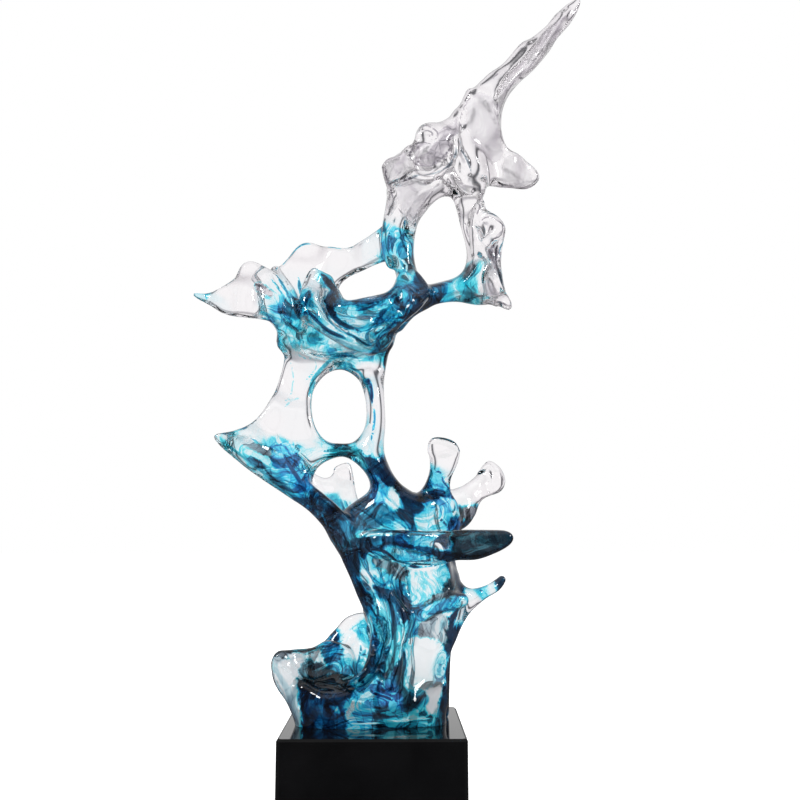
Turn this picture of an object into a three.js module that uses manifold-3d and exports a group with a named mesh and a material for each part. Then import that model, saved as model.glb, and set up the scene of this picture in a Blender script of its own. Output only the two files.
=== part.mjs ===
// Free-form pierced sculpture, cast in clear resin and bolted from below to a polished black block.
// Millimetres, +Z up. The origin is the centre of the felt's underside, on the table.
import * as THREE from 'three';
import { mergeVertices } from 'three/addons/utils/BufferGeometryUtils.js';
import Module from 'manifold-3d';

// Driving dimensions
const feltThickness = 1;
const feltInset = 3;
const feltCornerRadius = 6;
const plinthWidth = 150;
const plinthDepth = 150;
const plinthHeight = 70;
const plinthChamfer = 2;
const castingHeight = 677;
const filletReach = 3.3;
const boltSpacing = 66;
const boltCentre = { x: -3, y: -2 };
const screwRadius = 3;
const screwHeadRadius = 5;
const screwHeadHeight = 6;
const socketAcrossCorners = 5.8;
const socketDepth = 3.2;
const washerRadius = 9;
const washerThickness = 1.6;
const counterboreDepth = 12;
const insertRadius = 5;
const insertLength = 15;
const threadEngagement = 12;
const insertGroove = 0.8;
const insertGrooveWidth = 1.5;
const insertGrooveSlope = 0.75;
const turnedEdge = 0.5;
const shankClearance = 0.5;
const washerClearance = 1;
const runningGap = 0.3;
const roundSides = 24;
const feltCornerSides = 5;

// Fineness of the cast surface
const latticeStep = 4.2;
const castingTriangles = 11400;

// Heights that the pieces share
const plinthUnderside = feltThickness;
const plinthTop = plinthUnderside + plinthHeight;
const washerSeat = plinthUnderside + counterboreDepth;
const counterboreRadius = washerRadius + washerClearance;
const shankHoleRadius = screwRadius + shankClearance;
const boltPlaces = [-0.5, 0.5].map((side) => ({ x: boltCentre.x + side * boltSpacing, y: boltCentre.y }));

// The casting was drawn 677 mm tall, in front view: x to the right and z up from the plinth's top.
// Every length of the drawing is multiplied by drawingScale.
const drawnHeight = 677;
const drawingScale = castingHeight / drawnHeight;

// Shaping constants of the surface, and the lattice's reach in drawn millimetres
const curveSteps = 4;
const chainSteps = 3;
const stationReach = 12;
const blendMargin = 26;
const latticeLow = [-180, -78, -9];
const latticeHigh = [214, 66, 690];
const flatHold = 0.002;
const roundShare = 0.3;
const uprightCosine = 0.3;
const pinchFill = 0.1;
const borderRise = 2;
const edgeWidth = 0.05;
const leastPull = 1e-12;
const leastMass = 1e-9;
const weldDistance = 1e-4;
const cutOverrun = 1;

// The eight corners of a lattice cell, and its six faces as rings of corners
const cellCorners = [0, 1, 2, 3, 4, 5, 6, 7].map((c) => [c & 1, (c >> 1) & 1, c >> 2]);
const cellFaces = [0, 1, 2].flatMap((axis) => [0, 1].map((side) => {
  const [u, v, base] = [1 << (axis + 1) % 3, 1 << (axis + 2) % 3, side << axis];
  return [base, base | u, base | u | v, base | v];
}));
const edgeSlots = 3 * cellCorners.length;

// The four windows that are pierced right through
const holeA = [
  [-31, 305], [-17, 298], [-8, 284], [-5, 269], [-8, 251], [-18, 238], [-30, 234], [-42, 239],
  [-52, 252], [-56, 269], [-55, 286], [-45, 300],
];
const holeB = [
  [-28, 227], [-15, 223], [-6, 210], [-3, 198], [-7, 183], [-18, 173], [-29, 171], [-43, 177],
  [-51, 188], [-54, 201], [-50, 215], [-40, 223],
];
const holeC = [
  [-33, 385], [-24, 395], [-10, 400], [4, 405], [11, 406], [19, 398], [21, 387], [13, 376], [-7, 372],
  [-21, 369], [-31, 374],
];
const holeD = [
  [63, 470], [53, 466], [43, 449], [37, 431], [35, 405], [42, 385], [61, 385], [80, 396], [85, 417],
  [79, 444], [72, 468],
];

// Webs: an outline in front view, any windows, and stations of [x, z, depth of the middle, half thickness]
const webs = {
  blade: {
    edge: [
      [197, 677], [199, 669], [187, 647], [173, 630], [162, 612], [149, 594], [128, 574], [118, 554],
      [115, 539], [124, 521], [139, 515], [153, 506], [157, 496], [147, 487], [124, 483], [100, 481],
      [83, 474], [73, 500], [71, 543], [83, 552], [91, 568], [105, 584], [122, 600], [138, 620],
      [157, 637], [167, 646], [181, 666],
    ],
    holes: [],
    stations: [
      [193, 667, 26, 4.2], [169, 634, 18, 5], [137, 599, 4, 6.5], [106, 563, -4, 8.5], [97, 530, 0, 9],
      [122, 504, 20, 7.5], [150, 497, 34, 6], [82, 495, -2, 12],
    ],
  },
  head: {
    edge: [
      [87, 568], [76, 546], [62, 537], [48, 532], [39, 525], [35, 511], [23, 500], [9, 489], [7, 478],
      [13, 460], [19, 444], [39, 447], [50, 458], [66, 469], [87, 470], [101, 476], [95, 502],
      [91, 538],
    ],
    holes: [],
    stations: [
      [11, 482, -30, 7], [30, 495, -14, 13], [57, 508, -2, 20], [80, 512, 2, 16], [80, 546, -4, 9],
      [50, 471, -4, 15], [87, 479, 6, 13],
    ],
  },
  neck: {
    edge: [
      [18, 469], [12, 452], [8, 437], [11, 416], [21, 399], [23, 369], [22, 342], [34, 355], [50, 367],
      [68, 371], [89, 371], [103, 374], [102, 407], [91, 429], [88, 446], [97, 462], [99, 476],
      [84, 489], [50, 490], [27, 482],
    ],
    holes: [holeD],
    stations: [
      [22, 450, -10, 12], [21, 409, -4, 13], [27, 378, 2, 18], [59, 380, 8, 9], [87, 385, 8, 8],
      [87, 434, 14, 6.5], [86, 467, 12, 9], [59, 477, 0, 14],
    ],
  },
  fin_right: {
    edge: [
      [95, 460], [102, 451], [111, 443], [117, 432], [116, 416], [114, 396], [115, 376], [121, 358],
      [117, 353], [101, 362], [84, 370], [77, 381], [86, 397], [89, 416], [89, 435], [90, 450],
    ],
    holes: [],
    stations: [
      [111, 434, -12, 6], [96, 431, 6, 7], [99, 406, 2, 9], [117, 355, -30, 4.2], [91, 375, 6, 7],
      [110, 383, -16, 5.5],
    ],
  },
  wave: {
    edge: [
      [-104, 392], [-87, 409], [-76, 427], [-64, 433], [-45, 426], [-28, 423], [-12, 427], [5, 438],
      [17, 444], [27, 421], [38, 384], [49, 367], [33, 355], [21, 341], [10, 323], [-32, 317],
      [-83, 322], [-88, 340], [-97, 351], [-107, 359], [-112, 374],
    ],
    holes: [holeC],
    stations: [
      [-64, 429, 34, 5], [-73, 393, 24, 5.5], [-33, 415, 20, 6], [-1, 426, 6, 7.5], [27, 392, 0, 15],
      [22, 359, -2, 18], [-23, 351, 4, 10], [-68, 336, 0, 12], [-98, 374, 6, 8], [-41, 327, 2, 14],
    ],
  },
  fin_left: {
    edge: [
      [-157, 363], [-147, 364], [-138, 369], [-128, 378], [-123, 395], [-117, 402], [-108, 402],
      [-96, 394], [-81, 383], [-70, 363], [-81, 344], [-95, 347], [-103, 347], [-114, 347],
      [-130, 348], [-142, 354], [-151, 358],
    ],
    holes: [],
    stations: [
      [-154, 362, -46, 3.6], [-133, 363, -34, 5], [-117, 398, -6, 4.5], [-114, 362, -24, 7],
      [-90, 366, -8, 9], [-77, 363, -2, 11],
    ],
  },
  bowl: {
    edge: [
      [-56, 393], [-44, 388], [-34, 375], [-25, 357], [-6, 362], [14, 370], [21, 387], [37, 392],
      [49, 375], [43, 359], [31, 347], [20, 336], [10, 320], [-6, 314], [-28, 323], [-49, 336],
      [-65, 350], [-64, 376],
    ],
    holes: [],
    stations: [
      [-44, 378, -16, 6.5], [-51, 357, -30, 6.5], [-25, 346, -50, 6], [-8, 333, -46, 7.5],
      [12, 348, -40, 7], [27, 363, -24, 10], [9, 327, -16, 13], [36, 380, -8, 11], [-34, 330, -28, 8],
    ],
  },
  waist: {
    edge: [
      [-83, 337], [-81, 321], [-86, 298], [-95, 271], [-109, 253], [-120, 245], [-136, 241],
      [-124, 227], [-102, 209], [-75, 191], [-55, 177], [-34, 153], [-23, 131], [-10, 102], [-2, 81],
      [31, 94], [50, 132], [57, 166], [34, 191], [21, 202], [13, 217], [8, 234], [9, 258], [8, 289],
      [12, 321], [10, 333], [-36, 346],
    ],
    holes: [holeA, holeB],
    stations: [
      [-134, 241, -40, 3.8], [-111, 234, -26, 6.5], [-93, 259, -12, 5.5], [-82, 303, 6, 5],
      [-65, 291, 4, 6.5], [-68, 328, 4, 11], [-3, 318, 0, 11], [3, 267, -10, 8.5], [0, 231, -10, 12],
      [-30, 230, -14, 8], [-66, 248, -6, 6.5], [-77, 205, -16, 12], [-38, 162, -14, 16],
      [14, 188, -6, 18], [22, 153, -4, 22], [-12, 123, -6, 20], [5, 102, -4, 24],
    ],
  },
  fin_back: {
    edge: [
      [-73, 226], [-56, 214], [-46, 210], [-40, 213], [-38, 220], [-30, 224], [-23, 223], [-19, 206],
      [-15, 186], [-4, 169], [0, 149], [-26, 149], [-49, 173], [-66, 192],
    ],
    holes: [],
    stations: [
      [-29, 219, 44, 4.6], [-49, 201, 38, 5.5], [-23, 189, 34, 6.5], [-27, 162, 16, 13],
      [-63, 189, 16, 9],
    ],
  },
  trunk: {
    edge: [
      [-39, 160], [-21, 135], [-10, 111], [-4, 85], [0, 60], [-7, 26], [-20, -25], [27, -29],
      [58, -26], [58, 25], [61, 54], [70, 83], [76, 98], [70, 114], [67, 134], [65, 162], [59, 181],
      [40, 186], [9, 197], [-21, 184],
    ],
    holes: [],
    stations: [
      [-25, 153, -6, 17], [-4, 119, -6, 22], [31, 171, -2, 22], [57, 136, 2, 20], [22, 102, -2, 26],
      [62, 93, 6, 18], [14, 60, -2, 28], [57, 50, 8, 17], [5, 18, 0, 33], [48, 9, 4, 27],
    ],
  },
  lip: {
    edge: [
      [-27, 151], [-16, 158], [2, 161], [22, 162], [47, 161], [71, 162], [96, 162], [111, 161],
      [116, 155], [109, 147], [87, 138], [68, 137], [55, 133], [34, 131], [15, 136], [-1, 143],
      [-19, 143],
    ],
    holes: [],
    stations: [
      [-21, 149, -16, 8], [5, 149, -34, 9], [34, 145, -50, 8.5], [63, 149, -56, 9.5],
      [87, 151, -58, 8.5], [109, 154, -56, 6.5],
    ],
  },
  spike: {
    edge: [
      [58, 136], [73, 125], [76, 117], [85, 111], [99, 113], [110, 119], [115, 122], [119, 118],
      [113, 109], [99, 101], [86, 91], [78, 81], [66, 63], [49, 67], [44, 110],
    ],
    holes: [],
    stations: [
      [116, 119, 30, 4.6], [99, 109, 24, 5.4], [83, 103, 14, 7], [62, 101, 6, 12], [62, 76, 6, 10],
    ],
  },
  lobe_a: {
    edge: [
      [21, 195], [35, 191], [43, 199], [48, 212], [48, 223], [47, 234], [50, 240], [59, 240],
      [70, 236], [74, 228], [72, 218], [67, 206], [67, 195], [74, 181], [70, 158], [22, 162],
    ],
    holes: [],
    stations: [
      [60, 235, -34, 6.5], [61, 220, -26, 8], [57, 203, -14, 9], [49, 184, -6, 15], [35, 171, -4, 18],
    ],
  },
  lobe_b: {
    edge: [
      [58, 196], [72, 199], [83, 204], [93, 212], [99, 221], [106, 226], [116, 219], [120, 207],
      [115, 197], [102, 192], [95, 186], [90, 175], [80, 164], [58, 158], [54, 180],
    ],
    holes: [],
    stations: [
      [107, 217, 36, 6.5], [108, 202, 30, 7], [89, 201, 22, 8], [78, 189, 14, 10], [71, 171, 6, 13],
    ],
  },
  foot_left: {
    edge: [
      [-60, -23], [-64, -3], [-71, 14], [-84, 32], [-88, 49], [-83, 59], [-72, 60], [-54, 61],
      [-40, 67], [-21, 59], [-16, 34], [-11, -24],
    ],
    holes: [],
    stations: [
      [-84, 52, -6, 6], [-77, 32, -10, 9], [-65, 7, -10, 13], [-60, 55, 6, 7], [-38, 50, 10, 9],
      [-33, 19, -6, 22],
    ],
  },
  foot_back: {
    edge: [
      [-57, 48], [-44, 65], [-33, 77], [-25, 85], [-11, 89], [1, 84], [9, 57], [5, 24], [-2, -28],
      [-45, -28],
    ],
    holes: [],
    stations: [
      [-20, 82, 32, 6], [-35, 65, 28, 7], [-17, 53, 22, 11], [-21, 16, 12, 20],
    ],
  },
  foot_front: {
    edge: [
      [-63, 1], [-68, 20], [-60, 36], [-41, 30], [-23, 34], [-10, 40], [0, 44], [16, 34], [35, 25],
      [56, 31], [59, 19], [59, -23], [22, -25], [-19, -24], [-59, -21],
    ],
    holes: [],
    stations: [
      [-60, 20, -16, 9], [-40, 18, -24, 10], [-19, 14, -24, 12], [10, 17, -20, 14], [48, 11, -8, 18],
      [-7, 34, -24, 9],
    ],
  },
};

// Ribs and rims that stand proud of the webs: balls of [x, y, z, radius] on a smooth curve
const ribs = {
  blade_rib: [
    [95, -10, 560, 4], [109, -9, 557, 3.6], [126, -5, 578, 3.4], [151, 4, 605, 3.2], [167, 12, 632, 3],
    [179, 19, 654, 2.6],
  ],
  head_rim: [
    [32, -24, 476, 4.5], [49, -28, 474, 4.5], [63, -28, 482, 4], [72, -26, 498, 4.5],
    [72, -20, 514, 4.5], [59, -14, 522, 4],
  ],
  head_knob: [[48, -10, 523, 7.5], [45, -16, 515, 6]],
  head_curl: [[32, -20, 501, 4], [29, -24, 489, 4], [35, -24, 479, 4]],
  head_core: [[39, -12, 501, 5], [51, -16, 495, 6], [59, -12, 504, 4]],
  eye_rim: [
    [96, -2, 446, 3.6], [91, -6, 432, 4], [95, -8, 416, 4.5], [104, -12, 422, 3.6],
    [112, -12, 432, 3.6], [105, -8, 441, 3.4], [96, -2, 446, 3.6],
  ],
  fin_rib: [[96, -8, 413, 4.5], [102, -6, 402, 4], [108, -10, 385, 3.4], [112, -12, 373, 3.4]],
  neck_fold: [[19, -14, 458, 5], [15, -14, 439, 4], [10, -12, 419, 4.5], [15, -12, 400, 5]],
  neck_brace: [[45, -16, 476, 5], [27, -16, 462, 5], [20, -12, 455, 4]],
  arm_right: [[46, 0, 371, 6.5], [63, 2, 376, 7], [82, 2, 378, 7]],
  fold_one: [[-97, -4, 389, 4], [-86, -12, 368, 4.2], [-75, -18, 348, 4.5], [-65, -20, 338, 4.5]],
  fold_two: [
    [-91, 6, 398, 4], [-76, -10, 373, 3.8], [-66, -20, 354, 4.2], [-55, -26, 346, 4],
    [-38, -34, 333, 4.2], [-21, -34, 325, 4.6], [-6, -24, 319, 5],
  ],
  crescent: [[-42, -22, 381, 4.2], [-41, -36, 361, 4.4], [-34, -46, 344, 4.2], [-25, -50, 334, 3.4]],
  ring_lip: [
    [-37, -26, 369, 3.6], [-27, -46, 350, 3.6], [-9, -48, 351, 3.8], [10, -42, 358, 4],
    [24, -26, 373, 4.5],
  ],
  bowl_keel: [[-21, -36, 323, 4], [-2, -44, 324, 4.4], [15, -38, 340, 4.6], [29, -28, 359, 5]],
  spine: [[-6, -12, 297, 5], [-1, -14, 275, 5], [1, -16, 248, 5.4], [-4, -18, 229, 6]],
  bridge: [
    [-65, -14, 229, 4], [-43, -16, 230, 3.7], [-25, -18, 231, 3.9], [-5, -18, 220, 6],
    [9, -18, 206, 7], [24, -18, 188, 7.5], [44, -18, 181, 8],
  ],
  wing_keel: [
    [-121, -36, 236, 4], [-96, -30, 219, 5], [-68, -26, 203, 6], [-37, -26, 180, 6],
    [-15, -24, 154, 6.5],
  ],
  flute_one: [
    [-10, -24, 140, 6], [10, -30, 127, 6], [21, -32, 107, 6.5], [25, -32, 83, 6.5], [24, -32, 59, 6],
    [17, -32, 37, 6],
  ],
  flute_two: [
    [-19, -20, 137, 6], [-7, -24, 110, 7], [4, -28, 83, 7], [1, -32, 59, 6], [-9, -36, 42, 5.5],
    [-27, -40, 35, 5],
  ],
  sill: [[43, -18, 93, 6], [61, -14, 101, 6], [76, -8, 102, 6]],
  heel: [[63, 0, 68, 5], [58, -4, 43, 5.5], [57, -6, 19, 6.5]],
  spine_back: [
    [-23, 30, 184, 5.5], [-6, 30, 168, 8], [9, 30, 139, 8], [16, 32, 100, 7], [15, 34, 56, 8],
    [10, 36, 12, 9],
  ],
  rib_back: [[55, 16, 182, 7], [64, 22, 146, 7], [68, 20, 101, 6], [62, 20, 57, 6], [59, 22, 4, 7]],
  blade_back: [
    [114, 10, 537, 3.6], [117, 8, 559, 3.4], [129, 11, 581, 3.4], [146, 14, 602, 3.2],
    [163, 21, 626, 2.8],
  ],
  tab_back: [[96, 11, 515, 4], [112, 21, 511, 3.8], [127, 27, 504, 3.6], [142, 34, 498, 3]],
  head_back: [
    [14, -17, 479, 4.4], [22, -8, 498, 5], [39, 7, 513, 5], [56, 13, 516, 5], [70, 15, 507, 5],
    [75, 20, 493, 5], [96, 16, 482, 4],
  ],
  head_back_two: [[45, 8, 531, 4], [60, 11, 535, 4.4], [75, 9, 536, 5], [84, 5, 550, 4]],
  neck_back: [
    [15, -8, 469, 4], [20, 0, 449, 5], [19, 11, 428, 5], [26, 11, 403, 5], [32, 18, 382, 6],
    [21, 18, 358, 6],
  ],
  arm_back: [[35, 18, 373, 5], [56, 12, 381, 4.6], [80, 14, 386, 4.4], [100, 10, 379, 3.8]],
  wave_back: [[-53, 21, 368, 5.5], [-27, 14, 355, 6], [0, 17, 359, 6], [23, 18, 371, 6]],
  wave_back_three: [
    [-103, 13, 386, 3.6], [-91, 13, 366, 4.6], [-76, 12, 343, 5], [-52, 15, 330, 5.4],
    [-23, 14, 329, 5.4], [1, 13, 338, 5],
  ],
  wing_back: [[-119, -25, 242, 3.4], [-101, -17, 239, 4.2], [-81, -6, 230, 5], [-68, 0, 216, 5]],
};

// Hollows scooped out of the mass, in the same way
const hollows = {
  head_cup: [[47, -34, 490, 15], [58, -34, 495, 13]],
  head_back_cup: [[57, 38, 516, 17]],
  eye: [[101, -20, 428, 6]],
  fin_cup: [[-97, -26, 373, 9]],
  bowl_cup: [[-22, -12, 375, 9], [0, -12, 381, 9]],
  bowl_inside: [[-23, 10, 366, 10], [-4, -12, 355, 12], [12, -4, 362, 10]],
  window_high: [[7, -40, 125, 11], [15, -40, 121, 9]],
  window_mid: [[39, -32, 115, 20], [52, -30, 117, 16]],
  window_low: [[44, -32, 61, 19], [44, -33, 42, 17]],
  back_high: [[48, 44, 124, 15], [50, 44, 108, 15]],
  back_low: [[42, 48, 54, 17], [36, 52, 18, 15]],
  foot_cup: [[-46, -26, 48, 14], [-28, -30, 48, 16], [-18, -24, 62, 12]],
  lobe_cup: [[107, 2, 208, 6]],
  lip_cup: [[18, -58, 144, 9], [42, -62, 141, 9]],
};

// A closed smooth curve through the drawn points, as a list of points
function closedCurve(points) {
  const knots = points.map(([x, z]) => new THREE.Vector3(x * drawingScale, 0, z * drawingScale));
  const curve = new THREE.CatmullRomCurve3(knots, true, 'catmullrom', 0.5);
  const dense = [];
  for (let i = 0; i < knots.length * curveSteps; i += 1) {
    dense.push(curve.getPoint(i / (knots.length * curveSteps)));
  }
  return dense.map((point) => [point.x, point.z]);
}

// Depth and half thickness of a web anywhere on it, eased between its stations
function easedBetween(stations, x, z) {
  let total = 0;
  let depth = 0;
  let half = 0;
  for (const [sx, sz, sy, sr] of stations) {
    const square = (x - sx) ** 2 + (z - sz) ** 2;
    const weight = 1 / (square + stationReach ** 2) ** 2;
    total += weight;
    depth += weight * sy;
    half += weight * sr;
  }
  return [depth / total, half / total];
}

// Rounded distance to an outline, positive inside. Nearby edges blend, so no crease runs along the middle.
function roundedDistance(loops, x, z) {
  let pull = 0;
  let turn = 0;
  for (const loop of loops) {
    for (let i = 0; i < loop.length; i += 1) {
      const [ax, az] = loop[i];
      const [bx, bz] = loop[(i + 1) % loop.length];
      const length = Math.hypot(bx - ax, bz - az);
      const ux = (bx - ax) / length;
      const uz = (bz - az) / length;
      const away = Math.abs((x - ax) * uz - (z - az) * ux) + edgeWidth;
      const start = -((x - ax) * ux + (z - az) * uz);
      pull += edgePull(start + length, away) - edgePull(start, away);
      const cross = (x - ax) * (z - bz) - (z - az) * (x - bx);
      turn += Math.atan2(cross, (x - ax) * (x - bx) + (z - az) * (z - bz));
    }
  }
  const distance = (2 * Math.max(pull, leastPull) / Math.PI) ** (-1 / 3);
  const inside = Math.abs(Math.round(turn / (2 * Math.PI))) % 2 === 1;
  return inside ? distance : -distance;
}

// Integral of 1 / (h² + s²)² along a straight edge, up to s
function edgePull(s, h) {
  return s / (2 * h * h * (h * h + s * s)) + Math.atan(s / h) / (2 * h ** 3);
}

// A lattice of sample points round the casting; mass and scoop hold the blended members at each point
function makeLattice() {
  const low = latticeLow.map((v) => v * drawingScale);
  const count = latticeHigh.map((v, axis) => Math.ceil((v * drawingScale - low[axis]) / latticeStep) + 1);
  const size = count[0] * count[1] * count[2];
  return { low, count, mass: new Float32Array(size), scoop: new Float32Array(size) };
}

// Index range of the lattice planes between two places on an axis
function planes(lattice, axis, from, to) {
  const first = Math.max(0, Math.ceil((from - lattice.low[axis]) / latticeStep));
  const last = Math.min(lattice.count[axis] - 1, Math.floor((to - lattice.low[axis]) / latticeStep));
  return [first, last];
}

function latticeIndex(lattice, i, j, k) {
  return (i * lattice.count[1] + j) * lattice.count[2] + k;
}

// Adds a web: a sheet that follows its mid-surface, full in the middle and round at its edges
function addWeb(lattice, web) {
  const loops = [web.edge, ...web.holes].map(closedCurve);
  const stations = web.stations.map((station) => station.map((v) => v * drawingScale));
  const xs = loops[0].map((point) => point[0]);
  const zs = loops[0].map((point) => point[1]);
  const [i0, i1] = planes(lattice, 0, Math.min(...xs) - blendMargin, Math.max(...xs) + blendMargin);
  const [k0, k1] = planes(lattice, 2, Math.min(...zs) - blendMargin, Math.max(...zs) + blendMargin);
  for (let i = i0; i <= i1; i += 1) {
    for (let k = k0; k <= k1; k += 1) {
      const x = lattice.low[0] + i * latticeStep;
      const z = lattice.low[2] + k * latticeStep;
      const [depth, half] = easedBetween(stations, x, z);
      const inward = roundedDistance(loops, x, z);
      const taper = inward < 0 ? half - inward : half * Math.exp(-inward / half);
      for (let j = 0; j < lattice.count[1]; j += 1) {
        const y = lattice.low[1] + j * latticeStep;
        const distance = Math.hypot(taper, y - depth) - half;
        lattice.mass[latticeIndex(lattice, i, j, k)] += Math.exp(-distance / filletReach);
      }
    }
  }
}

// A chain of balls on a smooth curve, as straight tapered links
function chainLinks(chain) {
  const scaled = chain.map((ball) => ball.map((v) => v * drawingScale));
  if (scaled.length < 3) {
    return scaled;
  }
  const centres = scaled.map(([x, y, z]) => new THREE.Vector3(x, y, z));
  const places = new THREE.CatmullRomCurve3(centres, false, 'catmullrom', 0.5);
  const links = [];
  const spans = scaled.length - 1;
  for (let i = 0; i <= spans * chainSteps; i += 1) {
    const along = i / chainSteps;
    const ball = Math.min(spans - 1, Math.floor(along));
    const radius = THREE.MathUtils.lerp(scaled[ball][3], scaled[ball + 1][3], along - ball);
    links.push([...places.getPoint(along / spans).toArray(), radius]);
  }
  return links;
}

// Distance to a chain's surface
function chainDistance(links, x, y, z) {
  let nearest = Infinity;
  for (let i = 0; i + 1 < links.length; i += 1) {
    const [ax, ay, az, ar] = links[i];
    const [bx, by, bz, br] = links[i + 1];
    const square = (bx - ax) ** 2 + (by - ay) ** 2 + (bz - az) ** 2;
    const dot = (x - ax) * (bx - ax) + (y - ay) * (by - ay) + (z - az) * (bz - az);
    const t = THREE.MathUtils.clamp(dot / square, 0, 1);
    const gap = Math.hypot(x - ax - t * (bx - ax), y - ay - t * (by - ay), z - az - t * (bz - az));
    nearest = Math.min(nearest, gap - ar - t * (br - ar));
  }
  return nearest;
}

// Adds a chain to the mass, as a rib, or to the scoop, as a hollow
function addChain(lattice, values, chain) {
  const links = chainLinks(chain);
  const reach = Math.max(...links.map((link) => link[3])) + blendMargin;
  const ranges = [0, 1, 2].map((axis) => {
    const along = links.map((link) => link[axis]);
    return planes(lattice, axis, Math.min(...along) - reach, Math.max(...along) + reach);
  });
  for (let i = ranges[0][0]; i <= ranges[0][1]; i += 1) {
    for (let j = ranges[1][0]; j <= ranges[1][1]; j += 1) {
      for (let k = ranges[2][0]; k <= ranges[2][1]; k += 1) {
        const place = [i, j, k].map((step, axis) => lattice.low[axis] + step * latticeStep);
        const distance = chainDistance(links, ...place);
        values[latticeIndex(lattice, i, j, k)] += Math.exp(-distance / filletReach);
      }
    }
  }
}

// Signed distance-like value at every lattice point, negative in resin and positive on the outer planes
function castingValues(lattice) {
  const { count, mass, scoop } = lattice;
  const values = new Float32Array(mass.length);
  for (let i = 0; i < count[0]; i += 1) {
    for (let j = 0; j < count[1]; j += 1) {
      for (let k = 0; k < count[2]; k += 1) {
        const at = latticeIndex(lattice, i, j, k);
        const onBorder = [i, j, k].some((step, axis) => step === 0 || step === count[axis] - 1);
        const blended = filletReach * Math.log(1 / (mass[at] + leastMass) + scoop[at]);
        values[at] = onBorder ? Math.max(blended, borderRise * latticeStep) : blended;
      }
    }
  }
  return values;
}

// Fills a lattice point wherever a cell face is solid at two opposite corners only and the skin would pinch
function fillPinches(lattice, values) {
  const { count } = lattice;
  const stride = [count[1] * count[2], count[2], 1];
  let filled = 1;
  while (filled > 0) {
    filled = 0;
    for (let at = 0; at < values.length - stride[0] - stride[1]; at += 1) {
      for (const [u, v] of [[0, 1], [0, 2], [1, 2]]) {
        const ring = [at, at + stride[u], at + stride[u] + stride[v], at + stride[v]];
        const solid = ring.map((corner) => values[corner] < 0);
        if (solid[0] === solid[2] && solid[1] === solid[3] && solid[0] !== solid[1]) {
          const [one, two] = ring.filter((corner, n) => !solid[n]);
          values[values[one] < values[two] ? one : two] = -pinchFill * latticeStep;
          filled += 1;
        }
      }
    }
  }
  return values;
}

// Skins the lattice with one vertex for each patch of surface in a cell and one quad for each crossed edge
function skinLattice(lattice, values) {
  const { low, count } = lattice;
  const points = [];
  const vertexOf = new Map();
  for (let i = 0; i < count[0] - 1; i += 1) {
    for (let j = 0; j < count[1] - 1; j += 1) {
      for (let k = 0; k < count[2] - 1; k += 1) {
        const corners = cellCorners.map(([dx, dy, dz]) => latticeIndex(lattice, i + dx, j + dy, k + dz));
        const value = corners.map((corner) => values[corner]);
        const cell = latticeIndex(lattice, i, j, k) * edgeSlots;
        for (const patch of cellPatches(value)) {
          const mean = new THREE.Vector3();
          for (const edge of patch) {
            const a = Math.floor(edge / 3);
            const b = a | (1 << edge % 3);
            const crossing = new THREE.Vector3(...cellCorners[a]);
            crossing.lerp(new THREE.Vector3(...cellCorners[b]), value[a] / (value[a] - value[b]));
            mean.addScaledVector(crossing, 1 / patch.length);
            vertexOf.set(cell + edge, points.length);
          }
          const place = [i + mean.x, j + mean.y, k + mean.z];
          points.push(place.map((step, axis) => low[axis] + step * latticeStep));
        }
      }
    }
  }
  return { points, faces: quadsAcrossEdges(lattice, values, vertexOf) };
}

// The crossed edges of a cell, sorted into patches: edges belong together when a face of the cell links them
function cellPatches(value) {
  const solid = value.map((v) => v < 0);
  if (solid.every((side) => side === solid[0])) {
    return [];
  }
  const patchOf = new Map();
  const join = (one, two) => {
    const merged = [...new Set([...(patchOf.get(one) ?? [one]), ...(patchOf.get(two) ?? [two])])];
    merged.forEach((edge) => patchOf.set(edge, merged));
  };
  for (const ring of cellFaces) {
    const edges = ring.map((a, n) => Math.min(a, ring[(n + 1) % 4]) * 3 + Math.log2(a ^ ring[(n + 1) % 4]));
    const crossed = edges.filter((edge, n) => solid[ring[n]] !== solid[ring[(n + 1) % 4]]);
    if (crossed.length > 0) {
      join(...crossed);
    }
  }
  return new Set(patchOf.values());
}

function quadsAcrossEdges(lattice, values, vertexOf) {
  const { count } = lattice;
  const faces = [];
  for (let i = 0; i < count[0] - 1; i += 1) {
    for (let j = 0; j < count[1] - 1; j += 1) {
      for (let k = 0; k < count[2] - 1; k += 1) {
        for (let axis = 0; axis < 3; axis += 1) {
          const step = [0, 0, 0];
          step[axis] = 1;
          const here = values[latticeIndex(lattice, i, j, k)];
          const next = values[latticeIndex(lattice, i + step[0], j + step[1], k + step[2])];
          if (here < 0 !== next < 0) {
            const u = (axis + 1) % 3;
            const v = (axis + 2) % 3;
            const ring = [[0, 0], [1, 0], [1, 1], [0, 1]].map(([du, dv]) => {
              const cell = [i, j, k];
              cell[u] -= du;
              cell[v] -= dv;
              const corner = (du << u) | (dv << v);
              return vertexOf.get(latticeIndex(lattice, ...cell) * edgeSlots + corner * 3 + axis);
            });
            const [a, b, c, d] = here < 0 ? ring : ring.reverse();
            faces.push([a, b, c], [a, c, d]);
          }
        }
      }
    }
  }
  return faces;
}

// Quadric of a triangle's plane: the squared distance to it, weighted by its area
function planeQuadric([p, q, r]) {
  const normal = q.clone().sub(p).cross(r.clone().sub(p));
  const area = normal.length() / 2;
  normal.normalize();
  const [a, b, c, d] = [...normal.toArray(), -normal.dot(p)];
  return [a * a, a * b, a * c, a * d, b * b, b * c, b * d, c * c, c * d, d * d].map((v) => v * area);
}

function quadricCost(q, { x, y, z }) {
  return q[0] * x * x + q[4] * y * y + q[7] * z * z + q[9]
    + 2 * (q[1] * x * y + q[2] * x * z + q[5] * y * z + q[3] * x + q[6] * y + q[8] * z);
}

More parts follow.
